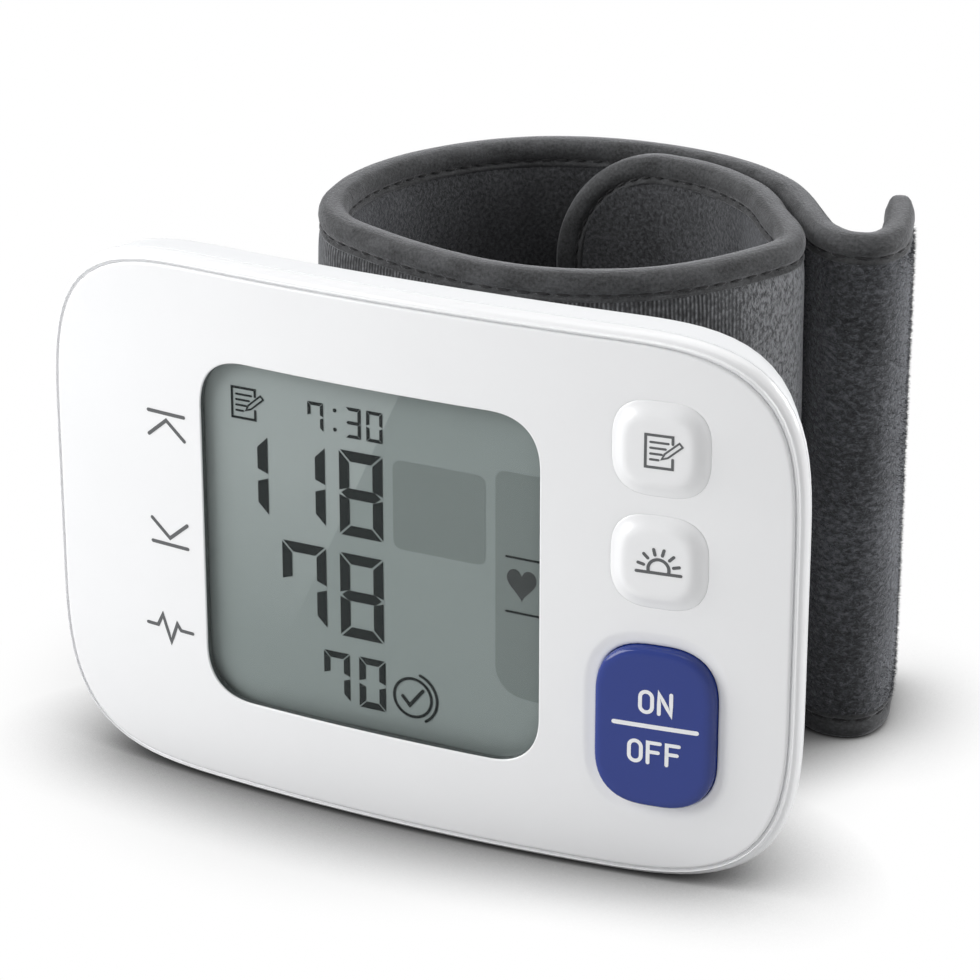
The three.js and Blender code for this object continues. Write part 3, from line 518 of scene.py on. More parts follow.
def moulded(name, color, low, high, grain=FINE, **sockets):
    """Moulded plastic: faint mottling, uneven gloss and a fine grain."""
    paint = Paint(name, color, (low + high) / 2, **sockets)
    place = paint.where()
    paint.tint(paint.noise(place, 70, 4), 0.975, 1.02)
    paint.rough(paint.noise(place, 240, 4), low, high)
    paint.bump(paint.noise(place, 2600, 3), grain, 0.35)
    return paint


def brushed(name, color, low, high):
    paint = Paint(name, color, (low + high) / 2, 1.0)
    place = paint.where()
    streaks = paint.stretched(place, (400, 400, 6000), 3)
    paint.tint(paint.noise(place, 500, 4), 0.85, 1.05)
    paint.rough(streaks, low, high)
    paint.bump(streaks, 0.000006, 0.3)
    return paint


def knitted(name):
    """Fine vertical ribs of loops under a brushed nap, with a painted highlight on the brushed end.
    """
    paint = Paint(name, (0.05, 0.051, 0.054), 0.9, **sheen(0.5, 0.4, (0.92, 0.95, 1)))
    place = paint.where("UV")
    across = paint.add("SeparateXYZ", {"Vector": place}).outputs["X"]
    wander = paint.stretched(place, (300, 160, 1))
    rib_pitch = 0.00046
    rib = paint.math("SINE", paint.total((across, 2 * math.pi / rib_pitch), (wander, 5.0)))
    rib = paint.math("MULTIPLY_ADD", rib, 0.5, 0.5)
    loops = paint.stretched(place, (2100, 1300, 1), 2)
    nap = paint.stretched(place, (2300, 1300, 1), 3, 0.75, turn=(0, 0, 0.7))
    nap = paint.math("MULTIPLY_ADD", nap, 1.9, -0.45)
    patch = paint.stretched(place, (120, 80, 1))
    # The first 5 cm from the free end are brushed to a nap without ribs, and painted lighter there:
    # a painted highlight
    brushed_end_and_painted_highlight = paint.span(across, (1.0, 0.0), (0.05, 0.063), "SMOOTHSTEP")
    brushed_off = paint.math("ADD", paint.ramp(patch, [(0.42, 0.05), (0.68, 0.5)]), brushed_end_and_painted_highlight)
    ribbed = paint.math("SUBTRACT", paint.total((rib, 0.4), (loops, 0.95)), 0.26)
    height = paint.mix(brushed_off, ribbed, nap)
    # painted highlight: the brushed end's tone is raised
    tone = paint.math("MULTIPLY_ADD", brushed_end_and_painted_highlight, 0.15, paint.total((height, 0.8), (patch, 0.2)))
    paint.colored(paint.ramp(tone, [(0.28, (0.01, 0.01, 0.011)), (0.5, (0.052, 0.053, 0.056)),
                                    (0.74, (0.2, 0.205, 0.215))]))
    paint.bump(height, 0.00014, 0.9)
    return paint


def piled(name, color, tuft, light, weight=0.4, spots=0.0):
    """A dark brushed pile: soft tufts of several sizes with paler tips."""
    paint = Paint(name, color, 1.0, **sheen(weight, 0.5, (0.88, 0.91, 0.98)))
    place = paint.where("UV")
    tufts = paint.stretched(place, (1 / tuft, 1 / tuft, 1), 2, 0.6, 0.4)
    clumps = paint.stretched(place, (0.55 / tuft, 0.6 / tuft, 1), 2, 0.6, 0.5)
    fibres = paint.stretched(place, (3.2 / tuft, 2.6 / tuft, 1), 2, 0.6, turn=(0, 0, 0.5))
    patch = paint.stretched(place, (100, 80, 1))
    height = paint.total((tufts, 0.55), (fibres, 0.25), (clumps, spots))
    tone = paint.math("MULTIPLY_ADD", patch, 0.2, height)
    middle = 0.5 * (1.0 + spots)
    paint.colored(paint.ramp(tone, [(middle - 0.13, times(color, 0.2)), (middle - 0.01, color),
                                    (middle + 0.15, times(color, light))]))
    paint.bump(height, tuft * 0.7)
    return paint


def taped(name, color):
    """Soft brushed binding tape with a faint lengthwise grain."""
    paint = Paint(name, color, 0.9, **sheen(0.5, 0.35, (0.95, 0.96, 1)))
    place = paint.where("UV")
    grain = paint.stretched(place, (700, 2400, 1), 4, 0.65)
    fuzz = paint.stretched(place, (2600, 2600, 1), 3, 0.7)
    patch = paint.stretched(place, (260, 420, 1), 4, 0.6)
    tone = paint.total((fuzz, 0.55), (patch, 0.5))
    paint.tint(paint.ramp(tone, [(0.38, 0.0), (0.52, 0.42), (0.7, 1.0)]), 0.35, 1.9)
    paint.bump(paint.math("ADD", grain, fuzz), 0.00009, 0.9)
    return paint


def displayed(name):
    """Grey-green display with a faint grain, and a painted reflection: a paler part left of a
    slanted edge, fading out towards the bottom.
    """
    paint = Paint(name, (0.44, 0.51, 0.5), 0.5, **specular(0.12))
    place = paint.where()
    split = paint.add("SeparateXYZ", {"Vector": place}).outputs
    # painted reflection: paler left of a slanted edge, fading out towards the bottom
    slant = paint.math("MULTIPLY_ADD", split["Z"], -0.46, split["X"])
    edge = paint.math("SUBTRACT", slant, -0.0236)
    side = paint.span(edge, (0, 1), (-0.0001, 0.0001), "SMOOTHSTEP")
    fade = paint.span(split["Z"], (0, 1), (0.018, 0.04))
    painted_reflection = paint.math("MULTIPLY", paint.math("SUBTRACT", 1.0, side), fade)
    plain = paint.mix(paint.noise(place, 900, 3), (0.25, 0.287, 0.28), (0.265, 0.302, 0.294))
    paint.colored(paint.mix(painted_reflection, plain, (0.335, 0.372, 0.366)))
    return paint


def see_through(name):
    """A clear lens: it shows what is behind it and mirrors a little of the room."""
    paint = Paint(name, (0.9, 0.92, 0.92), 0.04)
    clear = paint.add("BsdfTransparent", {"Color": (0.985, 0.99, 0.99)})
    smear = paint.span(paint.noise(paint.where(), 160, 3), (0.035, 0.06))
    gloss = paint.add("BsdfGlossy", {"Color": (1, 1, 1), "Roughness": smear})
    facing = paint.add("LayerWeight", {"Blend": 0.5}).outputs["Facing"]
    facing = paint.math("MULTIPLY_ADD", paint.math("POWER", facing, 5.0), 0.9, 0.006)
    paint.show(paint.mix_shader(facing, clear, gloss))
    return paint


MOULDED = {  # colour, lowest and highest roughness, grain; shader inputs
    "white_gloss": (((0.86, 0.865, 0.875), 0.2, 0.27), {"Coat Weight": 0.25}),
    "white_satin": (((0.82, 0.83, 0.845), 0.27, 0.36), {}),
    "blue_gloss": (((0.011, 0.033, 0.225), 0.12, 0.17),
                   {"Coat Weight": 0.1, "Coat Roughness": 0.06, **specular(0.4)}),
    "grey_plastic": (((0.2, 0.205, 0.21), 0.45, 0.6, COARSE), {}),
    "black_plastic": (((0.014, 0.014, 0.016), 0.4, 0.55, COARSE), {}),
    "dark_rubber": (((0.03, 0.03, 0.032), 0.65, 0.8, COARSEST), {}),
    "pale_tube": (((0.6, 0.6, 0.57), 0.4, 0.55, COARSE), {}),
    # dark window frame: painted shade for the window's recess
    "skirt": (((0.08, 0.092, 0.09), 0.5, 0.65, COARSE), specular(0.2)),
    "board_green": (((0.016, 0.1, 0.045), 0.35, 0.5, COARSE), {}),
    "cell_jacket": (((0.09, 0.1, 0.115), 0.25, 0.4), {}),
    "cell_band": (((0.5, 0.49, 0.46), 0.22, 0.34), {}),
    "print_grey": (((0.1, 0.104, 0.108), 0.5, 0.6), {}),
    "print_white": (((0.85, 0.86, 0.88), 0.4, 0.5), {}),
    "segments": (((0.014, 0.018, 0.018), 0.5, 0.6), specular(0.1)),
    "half_segments": (((0.055, 0.06, 0.06), 0.5, 0.6), specular(0.1)),
    "shaded": (((0.19, 0.219, 0.212), 0.5, 0.6), specular(0.12)),
    "bladder": (((0.05, 0.052, 0.056), 0.45, 0.6, COARSEST), {}),
}
OTHERS = {
    "steel": (brushed, (0.56, 0.57, 0.58), 0.22, 0.4),
    "nickel": (brushed, (0.62, 0.6, 0.55), 0.22, 0.38),
    "knit": (knitted,),
    # colour, size of a tuft, how light the tips are, sheen, spots
    "velour": (piled, (0.044, 0.045, 0.048), 0.00045, 2.4, 0.4, 0.15),
    "pile": (piled, (0.04, 0.0415, 0.045), 0.00045, 2.8, 0.5, 0.2),
    "hook_tape": (piled, (0.036, 0.0375, 0.041), 0.00048, 3.4, 0.5, 0.25),
    "foam": (piled, (0.06, 0.062, 0.066), 0.0007, 2.0),
    "binding": (taped, (0.047, 0.048, 0.05)),
    "thread": (taped, (0.016, 0.016, 0.017)),
    "display_face": (displayed,),
    "clear_lens": (see_through,),
}
paints = {name: moulded(name, *look, **inputs) for name, (look, inputs) in MOULDED.items()}
paints.update((name, make(name, *look)) for name, (make, *look) in OTHERS.items())


def coat(piece, paint):
    piece.data.materials.clear()
    piece.data.materials.append(paints[paint].material)


def dress(piece, paint, body, stands_for=()):
    coat(piece, paint)
    if body is not None:
        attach(piece, body)
    if stands_for:
        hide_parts(*stands_for)
    return piece


# ------------------------------------------------------------------------ case

def arc_normals(piece, proud=0.0):
    """Points on the face's arc keep its own normal, so the gloss stays even."""
    mesh = piece.data
    at = np.array([v.co for v in mesh.vertices]) / MM - ORIGIN
    flat = np.abs(at[:, 1] + proud - face_y(at[:, 0])) < 1e-3
    n = xyz(at[:, 0] / FACE_RADIUS, -1.0, 0.0)
    n /= np.linalg.norm(n, axis=1, keepdims=True)
    mesh.normals_split_custom_set_from_vertices((n * flat[:, None]).tolist())


# Rows of (reach past the outline, depth) round the plate's rim, the display's
# hole and the keys' holes, where the face dips
PLATE_RIM = [(-0.5, 0.0), (-0.34, 0.012), (-0.23, 0.05), (-GROOVE - 0.015, 0.13),
             (-GROOVE, 0.24), (-GROOVE, PLATE)]
VIEW_HOLE = [(0.0, PLATE), (0.0, 0.16), (0.02, 0.08), (0.08, 0.02), (0.18, 0.0)]
START_DISH = [(0.06, 0.9), (0.06, 0.3), (0.1, 0.2), (0.2, 0.15), (0.45, 0.14), (0.75, 0.125),
              (1.05, 0.08), (1.3, 0.03), (1.5, 0.005), (1.7, 0.0)]
SMALL_DISH = [(0.012, 0.9), (0.012, 0.035), (0.03, 0.022), (0.1, 0.018), (0.3, 0.012),
              (0.5, 0.007), (0.7, 0.003), (0.95, 0.0)]


def face_plate():
    form = Form()
    outer = form.sweep(face_outline, PLATE_RIM)[0]
    holes = [form.sweep(window_outline, VIEW_HOLE)[-1]]
    for name, key in KEYS.items():
        outline = partial(let_out, key, corner_steps=12, across=8, up=8)
        holes.append(form.sweep(outline, START_DISH if name == "start" else SMALL_DISH)[-1])
    piece = form.fill(outer, 0.0, 2.2, holes).piece("face_plate_finish", welded=True)
    arc_normals(piece)
    dress(piece, "white_gloss", "housing", ["face_plate"])


LIP = [(-GROOVE + 0.01, LEDGE_DEPTH), (-GROOVE + 0.01, 0.46), (-0.08, 0.38), (0.06, 0.37),
       (GROOVE, 0.3), (GROOVE, 0.2), (GROOVE + 0.015, 0.12), (GROOVE + 0.05, 0.09)]
BEAD = [(0.12, 0.0), (0.2, 0.0), (0.27, 0.01), (0.33, 0.05), (0.38, 0.11), (0.43, 0.13),
        (0.49, 0.1), (0.55, 0.045), (0.62, 0.012), (0.72, 0.0)]  # depth, inset
PART_EDGE = [(0.035, 0.012), (0.01, 0.045), (0.0, 0.12), (0.0, 1.0), (-0.7, 1.1)]
INNER_WALL = [(-2.6, 2.8), (-2.6, LEDGE_DEPTH), (LIP[0][0], LEDGE_DEPTH)]


def front_rim():
    part, bead_end = parting(FLANK_TABLE[0]), BEAD[-1][0]
    rings = [ring_at(face_outline(reach), depth) for reach, depth in LIP]
    rings += [flank_ring(depth, inset) for depth, inset in BEAD]
    rings += [flank_ring(bead_end + (part - 0.14 - bead_end) * f)
              for f in np.linspace(0.08, 1, 12)]
    rings += [flank_ring(part - back, inset) for back, inset in PART_EDGE]
    rings += [ring_at(face_outline(reach), depth) for reach, depth in INNER_WALL]
    piece = Form().rings(rings).piece("front_shell_finish", welded=True)
    dress(piece, "white_gloss", "housing", ["front_shell"])


def case_body(wall=0.0, name="room"):
    """A closed solid inside the flank, from the parting line to the back. With
    no wall it is the rear shell's outside, with an eased front edge."""
    back, part = DEPTH - wall, parting(FLANK_TABLE[0])
    rings = []
    if wall:
        part = part - 3.0
    else:
        part = part + 0.2
        rings = [flank_ring(part + ahead, inset)
                 for ahead, inset in ((-0.16, 0.9), (-0.16, 0.12), (-0.15, 0.045), (-0.125, 0.012))]
        part = part - 0.08
    rings += [flank_ring(part + (back - part) * f, wall) for f in np.linspace(0, 1, 34)]
    form = Form().rings(rings).fill(flank_points(back, wall), back, 3.0)
    form.faces += [(i, (i + 1) % FLANK_COUNT, form.count) for i in range(FLANK_COUNT)]
    return form.add([rings[0].mean(0)], []).piece(name, welded=True)


def case_part(name, wall):
    piece = case_body(name=name)
    boolean(piece, case_body(wall))
    return piece


def finish_shell(piece, body, stands_for):
    piece.data.polygons.foreach_set("use_smooth", [True] * len(piece.data.polygons))
    dress(set_sharp(piece, 32), "white_satin", body, [stands_for])


def door_room(play=0.0):
    return brick((DOOR["left"] - play, DOOR["front"] - play, DOOR["low"] - play),
                 (DOOR["right"] + play, BEYOND["y"], BEYOND["z"]))


def rear_shell():
    shell = case_part("rear_shell_finish", WALL)
    boolean(shell, door_room(play=0.3))
    for x, z in POSTS:
        boolean(shell, rod(WELL_RADIUS, x, z, 8, 25))
    finish_shell(shell, "housing", "rear_shell")


WELL = [(WELL_RADIUS, 14.2), (WELL_RADIUS, 9.8), (1.15, 9.8), (1.15, 7.4), (3.1, 7.4),
        (3.1, 13.4), (3.1, 14.2), (WELL_RADIUS, 14.2)]


def screw_wells():
    """Sleeves that line the four screw holes in the back."""
    c, s = turns(40)
    for number, (x, z) in enumerate(POSTS, 1):
        rings = [xyz(x + r * c, y, z + r * s) for r, y in WELL]
        piece = Form().rings(rings).piece(f"screw_well_{number}")
        boolean(piece, case_body(BURIED), "INTERSECT")
        dress(set_sharp(piece, 30), "white_satin", "housing")


GRIP = [(-0.3, 0.42), (0.1, 0.38), (0.3, 0.25), (0.38, 0.0), (0.3, -0.25), (0.1, -0.38),
        (-0.3, -0.42)]  # rise, half width


def battery_door():
    door = case_part("battery_door_finish", DOOR["wall"])
    boolean(door, door_room(), "INTERSECT")
    finish_shell(door, "battery_door", "battery_door")
    ridges = Form()
    along = np.linspace(-5, 5, 13)
    taper = np.sqrt(np.clip(1 - (np.abs(along) / 5.2) ** 6, 0, 1))
    x = DOOR["x"] + along
    for i in range(4):
        z = DOOR["low"] + 3.95 + i * 1.8
        ridges.rings([xyz(x, DEPTH + face_y(x) + rise * taper, z + half * taper)
                      for rise, half in GRIP], closed=False)
    dress(ridges.piece("battery_door_grip"), "white_satin", "battery_door")
    hook = brick((DOOR["x"] - 2, 13.55, DOOR["low"] - 1.1),
                 (DOOR["x"] + 2, 14.25, DOOR["low"] + 1.1))
    finish_brick(hook, "battery_door_hook", "battery_door", 0.0002, 3)


def bay_walls():
    """Walls of the battery bay inside the rear shell."""
    middle, reach = DOOR["x"], 5.2
    right = DOOR["right"] + 0.3
    spans = [("bay_divider", (right, 5.8, -27.5), (right + 1.0, 14.6, 27.5))]
    for number, (x, up) in enumerate(((middle - 5.35, 1), (middle + 5.35, -1)), 1):
        for kind, stop, side in (("nub", 23.25, up), ("spring", 25.95, -up)):
            low, high = sorted((side * stop, side * (stop + 1.0)))
            spans.append((f"bay_{kind}_stop_{number}", (x - reach, 5.8, low),
                          (x + reach, 12.5, high)))
    for name, low, high in spans:
        wall = brick(low, high)
        boolean(wall, case_body(BURIED), "INTERSECT")
        finish_brick(wall, name, "housing", 0.00015, 2)


CELL_Y = 9.3
CELL_PLACES = ((-31.4, 1), (-20.7, -1))
CELL_PARTS = {  # paint, slot and profile of (radius, height)
    "jacket": ("cell_jacket", "cell_jacket", [
        (4.3, -21.9), (4.85, -22.0), (5.12, -21.92), (5.25, -21.65), (5.25, 12.9), (5.22, 13.0),
        (5.22, 13.15), (5.25, 13.25), (5.25, 20.5), (5.2, 20.8), (5.0, 21.05), (4.6, 21.15),
        (3.9, 21.12)]),
    "band": ("cell_band", "nickel", [(5.2, 13.2), (5.28, 13.28), (5.28, 20.2), (5.2, 20.28)]),
    "foot": ("nickel", "nickel", [
        (4.4, -21.7), (4.4, -21.95), (3.95, -22.02), (3.6, -22.22), (3.3, -22.25)]),
    "nub": ("nickel", "nickel", [
        (4.0, 20.9), (4.0, 21.2), (2.85, 21.25), (2.65, 21.35), (2.6, 21.55), (2.6, 22.0),
        (2.5, 22.17), (2.25, 22.25)]),
}


def batteries():
    """Each cell is a jacket with a pale band, a steel foot and a steel nub."""
    c, s = turns(56)
    for number, (x, up) in enumerate(CELL_PLACES, 1):
        for part, (paint, slot, profile) in CELL_PARTS.items():
            rings = [xyz(x + r * c, CELL_Y + r * s, up * z) for r, z in profile]
            piece = Form().rings(rings, caps=(0, -1)).piece(f"battery_{part}_{number}")
            stands_for = [f"battery_cell_{number}"] if part == "jacket" else ()
            dress(set_sharp(piece, 40), paint, "housing", stands_for)


def lens():
    rows = [(-0.35, 1.0), (-0.06, 0.7), (-0.06, 0.2), (-0.09, 0.15), (-0.17, 0.13)]
    form = Form()
    outlines = form.sweep(window_outline, rows)
    for end in (-1, 0):
        form.fill(outlines[end], rows[end][1], 2.4)
    piece = set_sharp(form.piece("display_window_finish", welded=True), 25)
    dress(piece, "clear_lens", "housing", ["display_window"])


def window_skirt():
    """A frame round the window, seen down to the display; its dark colour is painted shade for the
    window's recess. Its front follows the face's arc, and its back is flat like the display."""
    arched = [(-0.01, 0.19), (-0.02, 0.3), (-0.02, 0.93), (0.1, 1.05)]
    flat = [(1.15, 2.36), (1.25, 2.42), (1.4, 2.4), (1.4, 1.3)]
    rings = [ring_at(window_outline(reach), depth) for reach, depth in arched]
    for reach, depth in flat:
        ring = window_outline(reach)
        rings.append(xyz(ring[:, 0], depth, ring[:, 1]))
    rings.append(ring_at(window_outline(0.3), 1.0))
    dress(Form().rings(rings).piece("window_frame"), "skirt", "housing")


# ------------------------------------------------------------------------ keys

# Rows of (height, inset) as shares of how far a key stands proud
START_CROWN = [(0.0, 0.0), (0.3, 0.0), (0.5, 0.03), (0.66, 0.09), (0.8, 0.2), (0.9, 0.36),
               (0.96, 0.56), (0.99, 0.8), (1.0, 1.05)]
SMALL_CROWN = [(-0.03, 0.0), (0.03, 0.08), (0.1, 0.27), (0.22, 0.56), (0.38, 0.88), (0.56, 1.2),
               (0.73, 1.5), (0.87, 1.8), (0.955, 2.1), (0.99, 2.4), (1.0, 2.8)]
KEY_SKIRT = [(0.0, 1.75), (0.8, 1.75), (0.8, 1.25), (0.0, 1.2)]
KEY_POST = [(0.95, 3.2), (1.0, 3.3), (1.0, 3.5), (0.9, 3.6)]


def key_cap(name):
    key, proud, first = KEYS[name], PROUD[name], name == "start"
    crown = START_CROWN if first else SMALL_CROWN
    outline = partial(let_out, key, corner_steps=14, across=10, up=10)
    rows = KEY_SKIRT + [(-inset * proud, -height * proud) for height, inset in crown]
    form = Form()
    top = form.sweep(outline, rows)[-1]
    form.fill(top, -proud, 1.4)
    c, s = turns(24)
    form.rings([xyz(key["x"] + r * c, y, key["z"] + r * s) for r, y in KEY_POST], caps=(-1,))
    piece = form.piece(f"{name}_key_finish", welded=True)
    arc_normals(piece, proud)
    look = "blue_gloss" if first else "white_gloss"
    dress(piece, look, f"{name}_button", [f"{name}_button"])


# ------------------------------------------------- printed marks and the display

def ribbon(points, width, closed=False, steps=6):
    """A stroke along a line: mitred joints, round ends, in pieces short enough to
    follow an arc."""
    points = [np.array(p, float) for p in points]
    if closed:
        points.append(points[0])
    fine = [points[0]]
    for p, q in zip(points, points[1:]):
        cuts = max(1, int(math.ceil(math.dist(p, q) / 1.2)))
        fine += [p + (q - p) * (k + 1) / cuts for k in range(cuts)]
    way = [(q - p) / max(math.dist(p, q), 1e-9) for p, q in zip(fine, fine[1:])]
    before = [way[-1] if closed else way[0], *way]
    after = [*way, way[0] if closed else way[-1]]
    sides = []
    for u, v in zip(before, after):
        middle = np.array([-(u[1] + v[1]), u[0] + v[0]])
        middle /= max(np.linalg.norm(middle), 1e-9)
        reach = min(1 / max(float(np.dot(middle, (-u[1], u[0]))), 0.3), 2.2)
        sides.append(middle * reach * width / 2)
    shapes = [np.array([fine[k] + sides[k], fine[k] - sides[k], fine[k + 1] - sides[k + 1],
                        fine[k + 1] + sides[k + 1]]) for k in range(len(fine) - 1)]
    if not closed:
        for place, u, turn in ((fine[0], way[0], 90), (fine[-1], way[-1], -90)):
            side = np.array([-u[1], u[0]])
            bend = np.radians(np.linspace(turn, turn + 180, steps + 2))
            shapes.append(place + np.outer(np.cos(bend), u) * width / 2
                          + np.outer(np.sin(bend), side) * width / 2)
    return shapes


def dot(x, z, size):
    c, s = turns(16)
    return [np.stack([x + size / 2 * c, z + size / 2 * s], 1)]


def arc(x, z, radius, start, end, steps=24):
    turn = np.radians(np.linspace(start, end, steps + 1))
    return [(x + radius * math.cos(a), z + radius * math.sin(a)) for a in turn]


def mark(name, shapes, surface, body, paint, lift=0.012, thick=0.02):
    """Flat printed shapes, laid on a surface y(x, z)."""
    form = Form()
    for shape in shapes:
        shape = np.asarray(shape, float)
        y = surface(shape[:, 0], shape[:, 1]) - lift
        form.rings([xyz(shape[:, 0], depth, shape[:, 1]) for depth in (y - thick, y)], caps=(0,))
    dress(form.piece(name, smooth=False), paint, body)


def note_icon(x, z, size):
    """A written page with a pencil."""
    w, h, t = size, size * 1.22, size * 0.1
    left, right, low, high = x - w / 2, x + w / 2, z - h / 2, z + h / 2
    shapes = ribbon([(right, high - h * 0.22), (right, high), (left, high), (left, low),
                     (right, low), (right, low + h * 0.3)], t)
    for k, end in ((0.22, 0.84), (0.4, 0.74), (0.58, 0.6), (0.76, 0.48)):
        z = high - h * k
        shapes += ribbon([(left + w * 0.18, z), (left + w * end, z)], t * 0.85)
    tip = np.array([x + w * 0.1, low + h * 0.28])
    tail = np.array([right + w * 0.3, high - h * 0.22])
    along = (tail - tip) / np.linalg.norm(tail - tip)
    side = np.array([-along[1], along[0]]) * w * 0.09
    neck = tip + along * w * 0.22
    outline = [tip, neck + side, tail + side, tail - side, neck - side]
    return shapes + ribbon(outline, t * 0.7, closed=True)


def sun_icon(x, z, size):
    """A sun rising over a line."""
    t = size * 0.072
    shapes = ribbon([(x - size / 2, z), (x + size / 2, z)], t)
    middle = z + size * 0.085
    shapes += ribbon(arc(x, middle, size * 0.235, -17, 197), t)
    for a in (14, 45, 76, 104, 135, 166):
        c, s = math.cos(math.radians(a)), math.sin(math.radians(a))
        shapes += ribbon([(x + c * size * 0.345, middle + s * size * 0.345),
                          (x + c * size * 0.475, middle + s * size * 0.475)], t)
    return shapes


def heart_shape(x, z, width, height):
    t = np.linspace(0, 2 * math.pi, 48, endpoint=False)
    hx = 16 * np.sin(t) ** 3
    hz = 13 * np.cos(t) - 5 * np.cos(2 * t) - 2 * np.cos(3 * t) - np.cos(4 * t)
    hz = (hz - (hz.max() + hz.min()) / 2) / (hz.max() - hz.min())
    return [np.stack([x + hx / 32 * width, z + hz * height], 1)]


SEGMENTS = {"0": "abcdef", "1": "bc", "3": "abgcd", "7": "abcf", "8": "abcdefg"}


def digit(text, left, right, low, high, bar):
    """Seven-segment digit with mitred ends and thin gaps."""
    gap, half, mid = bar * 0.13, bar * 0.5, (low + high) / 2

    def flat(z, inward):
        return [(left + gap, z), (right - gap, z), (right - bar - gap, z + inward),
                (left + bar + gap, z + inward)]

    def upright(x, inward, end, way):
        return [(x, end + way * gap), (x + inward, end + way * (bar + gap)),
                (x + inward, mid - way * (half + gap * 0.6)), (x, mid - way * gap * 1.6)]

    parts = {
        "a": flat(high, -bar), "b": upright(right, -bar, high, -1),
        "c": upright(right, -bar, low, 1), "d": flat(low, bar),
        "e": upright(left, bar, low, 1), "f": upright(left, bar, high, -1),
        "g": [(left + gap * 1.5, mid), (left + bar * 0.8, mid + half),
              (right - bar * 0.8, mid + half), (right - gap * 1.5, mid),
              (right - bar * 0.8, mid - half), (left + bar * 0.8, mid - half)],
    }
    return [np.array(parts[k]) for k in SEGMENTS[text]]


READINGS = [
    ("1", -22.2, -16.65, 2.35, 11.71, 1.28), ("1", -15.1, -9.58, 2.36, 11.71, 1.22),
    ("8", -7.84, -2.56, 1.9, 11.8, 1.22), ("7", -15.08, -9.62, -9.75, -0.1, 1.2),
    ("8", -7.92, -2.6, -10.15, -0.22, 1.22), ("7", -10.1, -6.88, -18.05, -12.28, 0.76),
    ("0", -5.72, -2.45, -18.33, -12.26, 0.8),
]
CLOCK = [("7", -11.6, -9.68, 13.4, 16.7, 0.38), ("3", -6.95, -5.12, 13.3, 16.8, 0.38),
         ("0", -4.45, -2.5, 13.28, 16.8, 0.38)]


def rounded_box(left, right, low, high, corner):
    left, right, low, high = left + corner, right - corner, low + corner, high - corner
    middles = [(right, high), (left, high), (left, low), (right, low)]
    return np.array([p for k, (x, z) in enumerate(middles)
                     for p in arc(x, z, corner, k * 90, k * 90 + 90, 5)])


def display():
    coat(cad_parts["display_panel"], "display_face")

    def on_glass(name, shapes, paint="segments", lift=0.03, thick=0.02):
        mark(name, shapes, lambda x, z: np.full(len(x), LCD_FRONT), "housing", paint, lift, thick)

    on_glass("display_readings", [part for row in READINGS for part in digit(*row)])
    clock = [part for row in CLOCK for part in digit(*row)]
    on_glass("display_clock", clock + dot(-8.27, 16.15, 0.46) + dot(-8.27, 13.95, 0.46))
    signs = note_icon(-19.5, 15.05, 2.85)
    signs += ribbon(arc(0.88, -15.88, 2.28, 0, 351, 40), 0.34, closed=True)
    signs += ribbon(arc(0.88, -15.88, 2.98, -58, 72), 0.34)
    signs += ribbon([(-0.35, -15.9), (0.5, -16.85), (2.1, -14.85)], 0.42)
    for z in (3.15, -3.2):
        signs += ribbon([(12.2, z), (16.6, z)], 0.26)
    on_glass("display_signs", signs)
    on_glass("display_heart", heart_shape(14.03, -0.02, 3.5, 3.7), "half_segments")
    band = [(17.4, 12.85), (12.1, 12.85), *arc(12.1, 11.65, 1.2, 90, 180, 7),
            *arc(14.3, -9.8, 3.4, 180, 262, 9), (17.4, -13.4)]
    on_glass("display_shades", [rounded_box(-1.33, 9.75, 1.5, 11.78, 0.95), np.array(band)],
             "shaded", 0.008, 0.012)


def prints():
    def face(x, z):
        return face_y(x)

    def cap(proud):
        return lambda x, z: face_y(x) - proud

    mark("memory_sign", note_icon(30.25, 18.75, 2.9), cap(0.8), "memory_button", "print_grey")
    mark("morning_sign", sun_icon(30.42, 5.24, 4.8), cap(0.8), "morning_button", "print_grey")
    t = 0.42

    def letters(word, x, z, height):
        shapes, w = [], height * 0.56
        pitch = height * 0.88
        x = x - pitch * (len(word) - 1) / 2
        for char in word:
            l, r, b, u = x - w / 2, x + w / 2, z - height / 2, z + height / 2
            if char == "O":
                k = w / 2
                shapes += ribbon(arc(x, u - k, k, 0, 180, 12) + arc(x, b + k, k, 180, 360, 12), t,
                                 closed=True)
            elif char == "N":
                shapes += ribbon([(l, b), (l, u), (r, b), (r, u)], t)
            elif char == "F":
                shapes += ribbon([(l, b), (l, u), (r, u)], t)
                shapes += ribbon([(l, z + 0.1), (r - 0.2, z + 0.1)], t)
            x += pitch
        return shapes

    words = letters("ON", 30.5, -9.5, 2.35) + letters("OFF", 30.4, -15.35, 2.35)
    words += ribbon([(25.95, -12.3), (35.0, -12.3)], 0.5)
    mark("start_sign", words, cap(1.1), "start_button", "print_white")
    rows = []
    for z, up in ((10.6, 1), (-1.2, -1)):
        rows += ribbon([(-31.3, z - up * 0.9), (-28.9, z + up * 1.1), (-26.5, z - up * 0.9)], 0.42)
        rows += ribbon([(-31.3, z + up * 1.9), (-26.5, z + up * 1.9)], 0.42)
    pulse = [(-32.4, -13.3), (-31.0, -13.3), (-30.3, -11.9), (-29.2, -15.0), (-28.3, -12.6),
             (-27.8, -13.3), (-26.2, -13.3)]
    rows += ribbon(pulse, 0.4)
    mark("face_signs", rows, face, "housing", "print_grey")


# ------------------------------------------------------------------------ cuff

